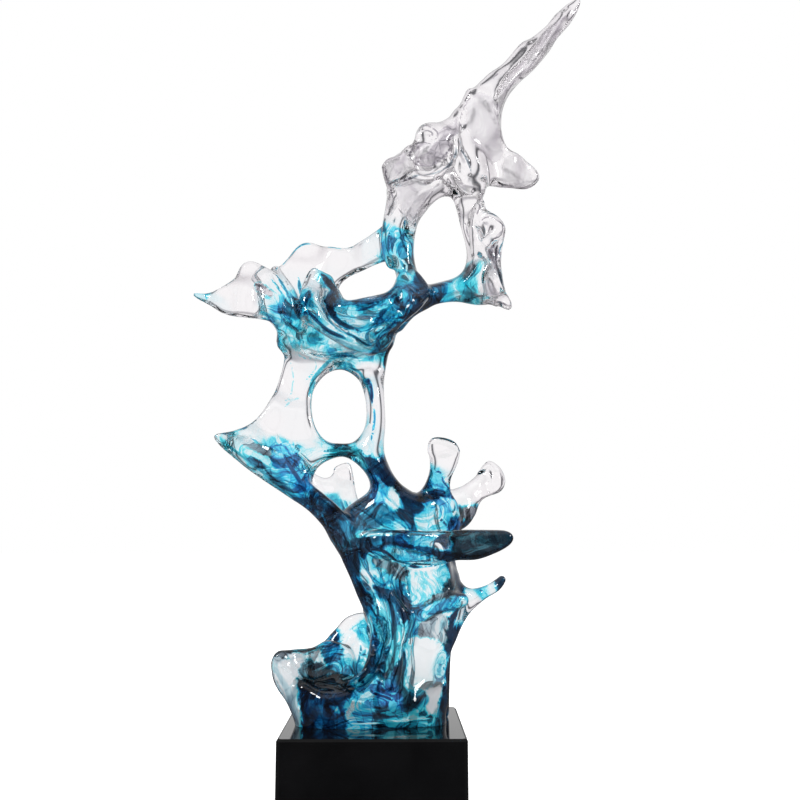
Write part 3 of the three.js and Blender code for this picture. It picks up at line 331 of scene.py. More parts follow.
FOLDS = {
    "blade_seam": [
        (187, 20.7, 663, 1.8), (171, 9.2, 637, 2), (155, -0.1, 610, 2.2), (138, -5.4, 590, 2.2),
        (122, -11.2, 570, 2.2), (111, -13.2, 555, 2),
    ],
    "blade_fold": [
        (168, 8.8, 637, 1.6), (158, 8.1, 626, 2), (150, -1.9, 608, 2), (142, -4.5, 597, 1.6),
    ],
    "blade_edge": [(112, -5.1, 536, 2), (107, -8.5, 544, 2.2), (103, -13.2, 551, 2)],
    "blade_root": [
        (77, -11.9, 542, 2.2), (76, -13.7, 528, 2.4), (73, -24.9, 512, 2.6), (78, -15.3, 502, 2.4),
        (84, -12.8, 492, 2.4), (82, -9.1, 478, 2.2),
    ],
    "facet_top": [
        (72, -25.6, 510, 2.2), (64, -19.9, 510, 2), (56, -20.1, 508, 1.8), (48, -20.3, 503, 1.8),
    ],
    "facet_side": [
        (72, -25.6, 510, 2.4), (72, -27.4, 499, 2.8), (68, -16.5, 493, 2.6), (59, -17.7, 484, 2.4),
        (47, -22, 476, 2.2), (32, -28.8, 473, 2),
    ],
    "facet_cross": [
        (55, -20.2, 505, 1.5), (50, -19.4, 499, 1.5), (60, -18.5, 495, 1.5), (67, -17.5, 494, 1.5),
    ],
    "facet_left": [
        (38, -22.9, 501, 2.2), (34, -23.5, 494, 2.4), (39, -19.2, 488, 2.4), (48, -17.6, 486, 2),
    ],
    "knob_one": [
        (39, -20.1, 517, 1.8), (44, -18.9, 524, 1.8), (51, -19.6, 524, 1.8), (56, -20.5, 518, 1.8),
        (57, -20.3, 513, 1.8),
    ],
    "knob_two": [(44, -22, 518, 1.5), (50, -21.7, 517, 1.5), (53, -21.1, 513, 1.5)],
    "brow": [(28, -25, 500, 2), (24, -26.4, 494, 2.2), (15, -32.9, 487, 2.2), (8, -32.5, 482, 2)],
    "cheek": [
        (31, -25.4, 493, 1.8), (34, -25.3, 483, 1.8), (28, -29.4, 471, 1.8), (19, -31.9, 466, 1.8),
    ],
    "neck_left": [(17, -31.2, 464, 2), (21, -27.4, 456, 2), (19, -24.1, 446, 2), (15, -19.8, 435, 2.2)],
    "neck_slant": [
        (56, -17.8, 473, 1.8), (45, -19, 465, 2), (34, -22.3, 454, 1.8), (27, -22.4, 443, 1.6),
    ],
    "neck_slant_two": [
        (64, -15.2, 476, 1.6), (59, -13.6, 469, 1.6), (49, -13.9, 461, 1.6), (39, -16.4, 447, 1.6),
        (33, -14.9, 435, 1.6),
    ],
    "neck_slant_three": [(70, -12.4, 481, 1.6), (79, -7, 475, 1.8), (87, -2.8, 471, 1.8)],
    "neck_slant_four": [(58, -28.9, 474, 1.4), (70, -8.4, 473, 1.4), (78, 0, 468, 1.4)],
    "chain_one": [(96, 3.4, 468, 1.8), (99, -5.9, 458, 1.8), (98, -8.6, 450, 1.6)],
    "chain_two": [(91, -6.5, 447, 2), (89, -9, 435, 2.2), (94, -11.2, 423, 2.2)],
    "eye_ring": [
        (96, -7.8, 440, 1.8), (104, -12.8, 441, 1.8), (111, -16.3, 436, 1.8), (115, -16.4, 430, 2),
    ],
    "twist_one": [
        (115, -16.3, 431, 2.2), (109, -13.7, 422, 2.2), (100, -13.4, 413, 2.2), (93, -10.2, 407, 2),
        (88, -4.8, 401, 1.8),
    ],
    "twist_two": [
        (93, -12.1, 421, 2), (99, -13.4, 411, 2), (104, -11.5, 401, 2.2), (108, -19, 386, 2.2),
        (114, -22.3, 370, 2), (118, -31.7, 358, 1.6),
    ],
    "twist_three": [
        (100, -12.2, 408, 1.8), (95, -9.1, 400, 1.8), (89, -7, 393, 1.8), (83, -5.6, 385, 1.6),
    ],
    "twist_four": [
        (98, -10.2, 401, 1.5), (93, -8.2, 391, 1.6), (88, -5.5, 382, 1.5), (89, -4, 373, 1.4),
    ],
    "fin_lower": [(89, -3.5, 371, 1.6), (99, -9.8, 367, 1.6), (107, -26.1, 358, 1.6)],
    "root_one": [
        (-95, -15.8, 388, 1.8), (-89, -16, 377, 2), (-82, -17.8, 366, 2), (-78, -21.2, 354, 1.8),
    ],
    "root_two": [
        (-92, -13.8, 390, 1.6), (-84, -15, 380, 1.8), (-78, -16.9, 368, 1.8), (-74, -21, 356, 1.6),
    ],
    "root_three": [
        (-88, -1.7, 396, 1.6), (-79, -12.4, 381, 1.8), (-72, -16.4, 370, 1.8), (-66, -30.9, 353, 1.6),
    ],
    "wing_patch": [
        (-109, -26.2, 372, 1.8), (-104, -20.1, 369, 2), (-96, -17.2, 362, 2), (-91, -17, 359, 1.6),
    ],
    "curl_fold": [
        (-65, -23.7, 335, 1.8), (-62, -33.2, 346, 2), (-57, -35.9, 349, 2.2), (-47, -39, 339, 2.2),
        (-35, -39.8, 330, 2.2), (-21, -44.2, 322, 2),
    ],
    "bowl_fold": [(-21, -52, 336, 1.8), (-9, -50.2, 334, 2), (5, -43.8, 340, 2), (17, -44.4, 350, 1.8)],
    "bowl_fold_two": [
        (-19, -48.2, 329, 1.8), (-3, -48.1, 326, 2), (12, -43.9, 333, 2), (24, -40.8, 345, 1.8),
    ],
    "lobe_a_rim": [
        (48, -30.7, 228, 2), (49, -33.4, 235, 2), (56, -36.4, 238, 2.2), (67, -34.7, 235, 2.2),
        (72, -32.7, 228, 2),
    ],
    "lobe_b_fold": [
        (96, 25.9, 214, 2.2), (104, 28.9, 220, 2.2), (108, 25.7, 211, 2.2), (105, 22.3, 200, 2),
    ],
    "lobe_b_fold_two": [
        (112, 28.4, 217, 2), (113, 24.8, 206, 2.2), (108, 23.8, 197, 2), (94, 14.9, 192, 1.8),
    ],
    "trunk_fold": [
        (-6, -32, 140, 2.2), (-1, -27.1, 125, 2.4), (9, -27.5, 112, 2.6), (15, -31, 96, 2.4),
        (16, -26.9, 77, 2.2),
    ],
    "foot_ring": [
        (-5, 20.8, 73, 2), (0, -36, 64, 2.2), (-4, -38.5, 49, 2.4), (-16, -40.5, 39, 2.4),
        (-31, -19.3, 31, 2.2), (-47, -13.5, 33, 2),
    ],
}
GRID_MM = 1.4
FLATNESS = 0.06
FILLET_MM = 3.3
CREASE_MM = 0.9
STATION_REACH_MM = 12
BLEND_MM = 26
BLENDS_TO_NOTHING = 8
CURVE_STEPS = 4
CHAIN_STEPS = 3
NEAREST_EDGE_MM = 0.05
FAR_MM = 1e3
SKIN_BAND_MM = 5.0
TINY = 1e-9
CAST_LOW = np.array((-180.0, -78.0, -8.0))
CAST_HIGH = np.array((214.0, 66.0, 690.0))


def rounded_curve(points, closed, steps):
    # a smooth curve that passes through the points, in straight steps
    p = np.array(points, float)
    if closed:
        p = np.vstack([p[-1:], p, p[:2]])
    else:
        p = np.vstack([2 * p[0] - p[1], p, 2 * p[-1] - p[-2]])
    made = []
    for a, b, c, d in zip(p, p[1:], p[2:], p[3:]):
        bend, twist = 2 * a - 5 * b + 4 * c - d, 3 * b - a - 3 * c + d
        for t in np.arange(steps) / steps:
            made.append((2 * b + (c - a) * t + bend * t**2 + twist * t**3) / 2)
    return np.array(made if closed else made + [p[-2]])


def pull_of_edge(s, h):
    return s / (2 * h * h * (h * h + s * s)) + np.arctan(s / h) / (2 * h**3)


def inward_distance(loops, x, z):
    # distance to the outline, positive inside, with nearby edges blended so that no crease shows
    pull = np.zeros_like(x)
    turn = np.zeros_like(x)
    for loop in loops:
        points = rounded_curve(loop, True, CURVE_STEPS)
        for (ax, az), (bx, bz) in zip(points, np.roll(points, -1, 0)):
            length = math.hypot(bx - ax, bz - az)
            ux, uz = (bx - ax) / length, (bz - az) / length
            away = np.abs((x - ax) * uz - (z - az) * ux) + NEAREST_EDGE_MM
            start = -((x - ax) * ux + (z - az) * uz)
            pull += pull_of_edge(start + length, away) - pull_of_edge(start, away)
            cross = (x - ax) * (z - bz) - (z - az) * (x - bx)
            turn += np.arctan2(cross, (x - ax) * (x - bx) + (z - az) * (z - bz))
    distance = (2 * np.maximum(pull, 1e-12) / math.pi) ** (-1 / 3)
    return np.where(np.abs(np.round(turn / (2 * math.pi))) % 2 == 1, distance, -distance)


grid_axes = [np.arange(lo, hi + GRID_MM, GRID_MM) for lo, hi in zip(CAST_LOW, CAST_HIGH)]


def near_planes(axis, low, high):
    return slice(*np.searchsorted(grid_axes[axis], (low, high)))


def add_web(edge, windows, stations):
    x, z, depth, half = np.array(stations, float).T
    (x0, z0), (x1, z1) = np.min(edge, 0) - BLEND_MM, np.max(edge, 0) + BLEND_MM
    sx, sz = near_planes(0, x0, x1), near_planes(2, z0, z1)
    gx, gz = np.meshgrid(grid_axes[0][sx], grid_axes[2][sz], indexing="ij")
    weight = 1 / ((gx[..., None] - x) ** 2 + (gz[..., None] - z) ** 2 + STATION_REACH_MM**2) ** 2
    middle = (weight * depth).sum(-1) / weight.sum(-1)
    thick = (weight * half).sum(-1) / weight.sum(-1)
    inward = inward_distance([edge, *windows], gx, gz)
    taper = np.where(inward < 0, thick - inward, thick * np.exp(-np.maximum(inward, 0) / thick))
    off = np.hypot(taper[:, None], grid_axes[1][None, :, None] - middle[:, None]) - thick[:, None]
    mass[sx, :, sz] += np.exp(-off / FILLET_MM)


def add_chain(values, chain, blend):
    links = np.array(chain, float)
    if len(links) > 2:
        bends = rounded_curve(links[:, :3], False, CHAIN_STEPS)
        radii = np.interp(np.arange(len(bends)) / CHAIN_STEPS, np.arange(len(links)), links[:, 3])
        links = np.column_stack([bends, radii])
    reach = links[:, 3].max() + BLENDS_TO_NOTHING * blend
    low, high = links[:, :3].min(0) - reach, links[:, :3].max(0) + reach
    spans = [near_planes(axis, low[axis], high[axis]) for axis in range(3)]
    planes = [grid_axes[axis][span] for axis, span in enumerate(spans)]
    at = np.stack(np.meshgrid(*planes, indexing="ij"), -1)
    nearest = np.full(at.shape[:3], FAR_MM)
    for a, b in zip(links, links[1:]):
        along = b[:3] - a[:3]
        t = np.clip((at - a[:3]) @ along / (along @ along), 0, 1)
        gap = np.linalg.norm(at - a[:3] - t[..., None] * along, axis=-1) - a[3] - t * (b[3] - a[3])
        nearest = np.minimum(nearest, gap)
    values[tuple(spans)] += np.exp(-nearest / blend)


def softened(values, own_share):
    for axis in range(3):
        values = np.roll(values, 1, axis) + own_share * values + np.roll(values, -1, axis)
        values /= own_share + 2
    return values


mass, scoop, pleat = (np.zeros([len(planes) for planes in grid_axes]) for _ in range(3))
for web in WEBS.values():
    add_web(*web)
for values, chains, blend in (
    (mass, RIBS, FILLET_MM),
    (scoop, HOLLOWS, FILLET_MM),
    (pleat, FOLDS, CREASE_MM),
):
    for chain in chains.values():
        add_chain(values, chain, blend)
resin_depth = FILLET_MM * np.log(1 / (mass + TINY) + scoop)
resin_depth = -CREASE_MM * np.log(np.exp(-resin_depth / CREASE_MM) + pleat)
# polishing rounds what is finer than the grid
resin_depth = softened(resin_depth, own_share=4)


def skin_of(values):
    # the triangles where the values cross zero, larger where the skin is flat; one piece is kept
    values = np.clip(values, -SKIN_BAND_MM, SKIN_BAND_MM)
    for axis in range(3):
        np.moveaxis(values, axis, 0)[[0, -1]] = SKIN_BAND_MM
    grid = openvdb.FloatGrid(background=SKIN_BAND_MM)
    grid.copyFromArray(values.astype(np.float32))
    points, threes, fours = grid.convertToPolygons(isovalue=0.0, adaptivity=FLATNESS)
    faces = np.vstack([threes, fours[:, (0, 1, 2)], fours[:, (0, 2, 3)]])
    label = np.arange(len(points))
    while True:
        lowest = label.copy()
        np.minimum.at(lowest, faces.ravel(), np.repeat(label[faces].min(1), 3))
        lowest = lowest[lowest]
        if (lowest == label).all():
            break
        label = lowest
    keep = label == np.bincount(label).argmax()
    renumber = np.cumsum(keep) - 1
    return points[keep].astype(float), renumber[faces[keep[faces[:, 0]]]]


def sample(values, at):
    # the value at places given in grid steps, between the eight points round each
    whole = np.clip(np.floor(at).astype(int), 0, np.array(values.shape[:3]) - 2)
    part = at - whole
    total = 0
    for corner in np.ndindex(2, 2, 2):
        share = np.prod(np.where(corner, part, 1 - part), axis=1)
        i, j, k = (whole + corner).T
        total = total + values[i, j, k] * (share if values.ndim == 3 else share[:, None])
    return total


# Ink is dropped into each pour and drifts: (x, depth, z, dense, hue), from 0 clear to 1 black, and
# from 1 blue past 0 green to -1 dusky grey. Strands (dense, hue, half width, line) are drawn with a
# rod, and panes (dense, hue, depth, outline) keep one tone, where one pour was cut off by the next. The
# grey strands and facet panes on the clear head, neck, fins and blade are not ink but painted shade:
# dark lines along its creases and grey on its facets, where clear resin shows shade by refraction.
INK = {
    "neck": [
        (25, -12, 420, 0.42, 0.45), (16, -14, 429, 0.24, 0.6), (30, -12, 427, 0.1, 0.5),
        (21, -14, 426, 0.3, 0.5), (12, -14, 415, 0.62, 0.7), (31, -10, 396, 0.75, 0.4),
        (21, -12, 401, 0.35, 0.4), (22, -16, 436, 0.06, 0.4), (18, -22, 450, 0, -1),
        (45, -8, 455, 0, -1), (40, -14, 378, 0.95, 0.6), (24, -19, 380, 0.3, 0.45),
    ],
    "right_arm": [
        (51, -4, 375, 0.62, 0.5), (64, -2, 376, 0.45, 0.5), (78, -2, 381, 0.2, 0.2),
        (86, -2, 380, 0.55, 0.1), (95, -2, 381, 0.05, 0.3), (107, -15, 374, 0, -1),
        (99, -2, 429, 0.02, -1),
    ],
    "bowl": [
        (15, -38, 361, 0.48, 0.45), (3, -46, 354, 0.36, 0.4), (-10, -50, 349, 0.5, 0.35),
        (-25, -48, 354, 0.26, 0.3), (-32, -36, 363, 0.35, 0.4), (-19, -48, 341, 0.28, 0.3),
        (0, -42, 339, 0.16, 0.4), (15, -42, 344, 0.46, 0.5), (27, -32, 359, 0.5, 0.5),
        (33, -25, 370, 0.62, 0.55), (-2, -43, 327, 0.4, 0.4), (15, -26, 332, 0.55, 0.4),
        (5, -27, 321, 0.35, 0.2),
    ],
    "bowl_wall": [
        (-50, -22, 377, 0.08, 0.3), (-53, -31, 363, 0.06, 0.3), (-45, -36, 351, 0.05, 0.3),
        (-34, -45, 338, 0.05, 0.3), (-21, -45, 329, 0.08, 0.3), (-7, -43, 321, 0.1, 0.3),
    ],
    "wave": [
        (-57, -30, 361, 0.45, 0.45), (-68, 19, 384, 0.12, 0.4), (-54, -19, 382, 0.06, 0.4),
        (-42, 17, 399, 0.05, 0.4), (-39, -25, 376, 0.22, 0.4), (-74, 20, 390, 0.06, 0.4),
        (-32, -4, 381, 0.08, 0.4), (-25, 2, 390, 0.06, 0.4), (-71, 26, 411, 0, 0.5),
        (-52, 22, 410, 0, 0.5), (-33, 18, 409, 0.03, 0.5), (-14, 6, 389, 0.1, 0.5),
        (-18, 14, 413, 0.05, 0.4), (-3, 4, 420, 0.1, 0.4), (8, -11, 423, 0.35, 0.5),
        (-76, -13, 365, 0.28, 0.45), (-81, -11, 375, 0.1, 0.4), (-66, -23, 348, 0.18, 0.3),
        (-45, -21, 381, 0.18, 0.45),
    ],
    "wing_root": [
        (-94, -12, 365, 0.24, 0.5), (-89, -12, 354, 0.44, 0.65), (-81, -14, 347, 0.4, 0.6),
        (-70, -19, 339, 0.5, 0.4), (-58, -8, 335, 0.42, 0.3), (-76, -8, 330, 0.26, 0.3),
        (-40, -8, 330, 0.4, 0.6), (-22, -7, 323, 0.22, 0.6), (-87, 0, 341, 0.36, 0.4),
    ],
    "left_wing": [
        (-123, -20, 392, 0, 0.5), (-115, -12, 387, 0.02, 0.5), (-106, -16, 382, 0.04, 0.5),
        (-118, -28, 361, 0.02, 0.5), (-101, -12, 374, 0.12, 0.4), (-130, -24, 385, 0, 0.5),
        (-104, -16, 372, 0, 0.5), (-130, -34, 367, 0, 0.5), (-151, -44, 363, 0.3, 0.4),
        (-137, -36, 356, 0.1, 0.4), (-109, -26, 357, 0, 0.5), (-99, -17, 359, 0.18, 0.5),
    ],
    "waist": [
        (-58, -6, 321, 0.16, 0.3), (-67, 0, 311, 0.05, 0.3), (-76, 2, 291, 0.02, 0.3),
        (-86, -8, 276, 0.05, 0.3), (-91, -14, 253, 0.03, 0.3), (-66, -8, 254, 0.05, 0.3),
        (-51, 2, 303, 0.07, 0.3), (-22, -8, 319, 0.34, 0.3), (-3, -8, 319, 0.4, 0.35),
        (9, -17, 319, 0.55, 0.2), (-3, -8, 306, 0.04, 0.4), (6, -10, 289, 0.03, 0.4),
        (8, -14, 257, 0.05, 0.4), (5, -17, 240, 0.16, 0.6),
    ],
    "strut": [
        (-8, -14, 289, 0.1, 0.5), (1, -14, 289, 0.12, 0.5), (5, -16, 275, 0.04, 0.5),
        (-6, -14, 272, 0.1, 0.55), (7, -16, 257, 0.04, 0.55), (-2, -18, 253, 0.14, 0.5),
        (-2, -19, 234, 0.14, 0.5), (-11, -19, 232, 0.22, 0.4),
    ],
    "lower_wing": [
        (-133, -39, 240, 0.14, -0.2), (-117, -36, 233, 0.22, 0.1), (-105, -27, 241, 0.12, 0.2),
        (-95, -32, 219, 0.14, 0.2), (-82, -19, 229, 0.26, 0.4), (-75, -22, 222, 0.52, 0.85),
        (-67, -25, 209, 0.52, 0.8), (-61, -27, 199, 0.45, 0.6), (-56, -16, 229, 0.08, 0.3),
        (-80, -29, 208, 0.3, 0.3), (-69, -24, 194, 0.25, 0.4), (-55, -26, 187, 0.52, 0.5),
        (-44, -24, 177, 0.72, 0.4), (-30, -20, 231, 0.62, 0), (-45, -18, 232, 0.25, 0.2),
        (-59, -18, 220, 0.2, 0.4),
    ],
    "lower_window": [
        (-7, -22, 222, 0.62, 0.2), (1, -22, 215, 0.85, 0.6), (4, -20, 205, 0.66, 1),
        (3, -18, 194, 0.28, 0.7), (14, -21, 201, 0.95, 0.7), (18, -21, 189, 0.05, 0.6),
        (27, -21, 191, 0.95, 0.6), (38, -23, 181, 0.98, 0.5), (-2, -18, 181, 0.75, 0.4),
        (-19, -24, 170, 0.85, 0.45), (-34, -25, 165, 0.8, 0.4), (-25, -25, 157, 0.55, 0.2),
        (-7, -22, 170, 0.45, 0.4),
    ],
    "back_fin": [
        (-28, 42, 216, 0, 0.5), (-42, 36, 204, 0.03, 0.4), (-23, 32, 197, 0.05, 0.4),
        (-41, 30, 189, 0.26, 0.4), (-27, 26, 182, 0.32, 0.4), (-15, 28, 184, 0.12, 0.4),
        (-16, -20, 170, 0.6, 0.5),
    ],
    "lobes": [
        (76, 10, 190, 0.02, 0.5), (57, -17, 183, 0.15, 0.6), (64, -20, 206, 0.1, 0.5),
        (56, -34, 229, 0.02, 0.5), (65, -28, 220, 0.02, 0.5), (54, -20, 208, 0.2, 0.6),
        (58, -18, 198, 0.38, 0.75), (48, -17, 191, 0.5, 0.6), (62, -16, 188, 0.62, 0.85),
        (70, -13, 183, 0.22, 0.5), (67, -15, 175, 0.1, 0.4), (48, -21, 177, 0.42, 0.8),
        (57, -17, 169, 0.12, 0.5), (105, 32, 215, 0, 0.5), (89, 18, 200, 0, 0.6),
        (78, 10, 190, 0.06, 0.5), (81, 5, 175, 0.55, 0.2), (45, -11, 202, 0.75, 0.5),
    ],
    "deck": [
        (29, -21, 170, 0.8, 0.5), (18, -21, 174, 0.7, 0.45), (9, -21, 165, 0.55, 0.45),
        (26, -22, 165, 0.16, 0.5), (41, -21, 170, 0.18, 0.4), (57, -18, 164, 0.14, 0.5),
        (67, -15, 165, 0.6, 0.9),
    ],
    "lip": [
        (-1, -36, 152, 0.7, 0.4), (14, -40, 155, 0.55, 0.4), (25, -50, 155, 0.75, 0.5),
        (38, -52, 154, 0.32, 0.5), (50, -56, 155, 0.1, 0.4), (60, -60, 154, 0.03, 0.4),
        (68, -60, 153, 0.8, 0.4), (79, -62, 150, 0.86, 0.45), (95, -60, 152, 0.86, 0.45),
        (109, -58, 154, 0.9, 0.4), (-15, -26, 145, 0.72, 0.35), (20, -44, 143, 0.2, 0.5),
        (32, -46, 139, 0.24, 0.5), (47, -50, 137, 0.1, 0.4), (58, -58, 141, 0.7, 0.4),
    ],
    "upper_trunk": [
        (46, -13, 126, 0.02, 0.4), (46, -11, 113, 0.04, 0.4), (38, -9, 109, 0.08, 0.4),
        (-7, -28, 132, 0.03, 0.6), (-3, -24, 120, 0.04, 0.6), (5, -24, 125, 0.12, 0.5),
        (14, -26, 120, 0.3, 0.6), (3, -28, 137, 0.4, 0.6), (18, -24, 132, 0.25, 0.5),
        (32, -13, 126, 0.1, 0.4), (40, -9, 116, 0.06, 0.4), (54, -9, 121, 0.08, 0.4),
        (48, -11, 106, 0.16, 0.4), (27, -15, 109, 0.72, 0.5), (18, -32, 104, 0.85, 0.5),
        (33, -18, 96, 0.6, 0.5), (71, 10, 129, 0.96, 0.5), (72, 4, 112, 0.94, 0.5),
        (-19, -24, 135, 0.82, 0.4), (-12, -26, 112, 0.85, 0.45), (22, -20, 124, 0.5, 0.5),
    ],
    "spike": [
        (84, 14, 108, 0.2, 0.4), (96, 23, 113, 0.45, 0.4), (105, 26, 116, 0.12, 0.4),
        (114, 29, 119, 0.75, 0.4), (88, 14, 101, 0.04, 0.6), (63, -13, 98, 0.2, 0.4),
        (55, -18, 96, 0.3, 0.5), (70, -4, 92, 0.1, 0.4),
    ],
    "mid_trunk": [
        (-5, -28, 100, 0.8, 0.45), (9, -28, 94, 0.28, 0.4), (6, -32, 81, 0.16, 0.4),
        (12, -25, 70, 0.3, 0.5), (2, -34, 65, 0.66, 0.5), (14, -24, 84, 0.62, 0.6),
        (20, -34, 94, 0.62, 0.4), (24, -34, 75, 0.45, 0.3), (16, -28, 55, 0.62, 0.6),
        (9, -20, 47, 0.34, 0.5), (23, -30, 48, 0.55, 0.5), (22, -32, 63, 0.2, 0.4),
        (42, -14, 84, 0.3, 0.7), (54, -8, 79, 0.16, 0.7), (29, -33, 86, 0.35, 0.4),
        (1, -32, 42, 0.4, 0.4),
    ],
    "low_trunk": [
        (43, -6, 52, 0, 0.4), (32, -14, 56, 0.03, 0.4), (43, -10, 32, 0.03, 0.4),
        (57, -4, 52, 0.02, 0.4), (36, -10, 65, 0.03, 0.4), (50, -4, 58, 0, 0.4),
        (38, -8, 45, 0.05, 0.4), (51, -6, 39, 0.02, 0.4), (29, -16, 53, 0.12, 0.4),
        (64, -3, 68, 0.95, 0.5), (64, 17, 39, 0.96, 0.5), (60, -10, 19, 0.94, 0.4),
        (32, -16, 33, 0.16, 0.3), (49, -14, 25, 0.05, 0.8), (47, -19, 14, 0.1, 0.7),
    ],
    "foot": [
        (-8, -30, 31, 0.22, 0.4), (-1, -30, 35, 0.4, 0.6), (10, -30, 27, 0.5, 1),
        (19, -28, 25, 0.62, 1), (-13, -30, 21, 0.06, 0.4), (-17, -32, 10, 0.03, 0.4),
        (-6, -30, 13, 0.08, 0.4), (1, -30, 23, 0.3, 0.5), (-23, -30, 25, 0.66, 0.6),
        (-33, -30, 18, 0.9, 0.6), (-46, -28, 22, 0.95, 0.5), (-56, -22, 17, 0.9, 0.5),
        (-44, -28, 8, 0.7, 0.7), (-31, -30, 10, 0.8, 0.7), (12, -30, 13, 0.66, 0.3),
        (22, -27, 6, 0.36, 0.15), (37, -22, 10, 0.3, 0.1), (51, -19, 6, 0.28, 0.15),
        (29, -24, 22, 0.7, 0.2), (39, -16, 27, 0.5, 0.2),
    ],
    "left_lobe": [
        (-77, -10, 45, 0.02, 0.5), (-72, -14, 24, 0.02, 0.5), (-67, 2, 55, 0.04, 0.5),
        (-63, -20, 11, 0.08, 0.4), (-53, 2, 48, 0.1, 0.4), (-56, -8, 36, 0.8, 0.3),
        (-44, -10, 31, 0.88, 0.4), (-28, -22, 30, 0.84, 0.3), (-42, 4, 55, 0.7, 0.5),
        (-38, 24, 64, 0.55, 0.5), (-49, 4, 59, 0.3, 0.4), (-29, 4, 49, 0.3, 0.4),
        (-22, 22, 66, 0.04, 0.5), (-19, 8, 57, 0.08, 0.4), (-22, 30, 81, 0.03, 0.5),
        (-11, 24, 71, 0.5, 0.4), (-7, 15, 49, 0.45, 0.3), (-14, 9, 38, 0.7, 0.4),
        (-24, -4, 38, 0.55, 0.4),
    ],
    "clear_top": [
        (40, -17, 504, 0, -1), (86, -9, 507, 0, -1), (115, -2, 549, 0, -1), (155, 7, 613, 0, -1),
        (188, 26, 662, 0, -1), (13, -30, 471, 0, -1), (108, -12, 435, 0, -1), (142, 30, 498, 0, -1),
        (87, 10, 423, 0, -1), (73, -3, 471, 0, -1), (55, -16, 474, 0, -1),
    ],
}
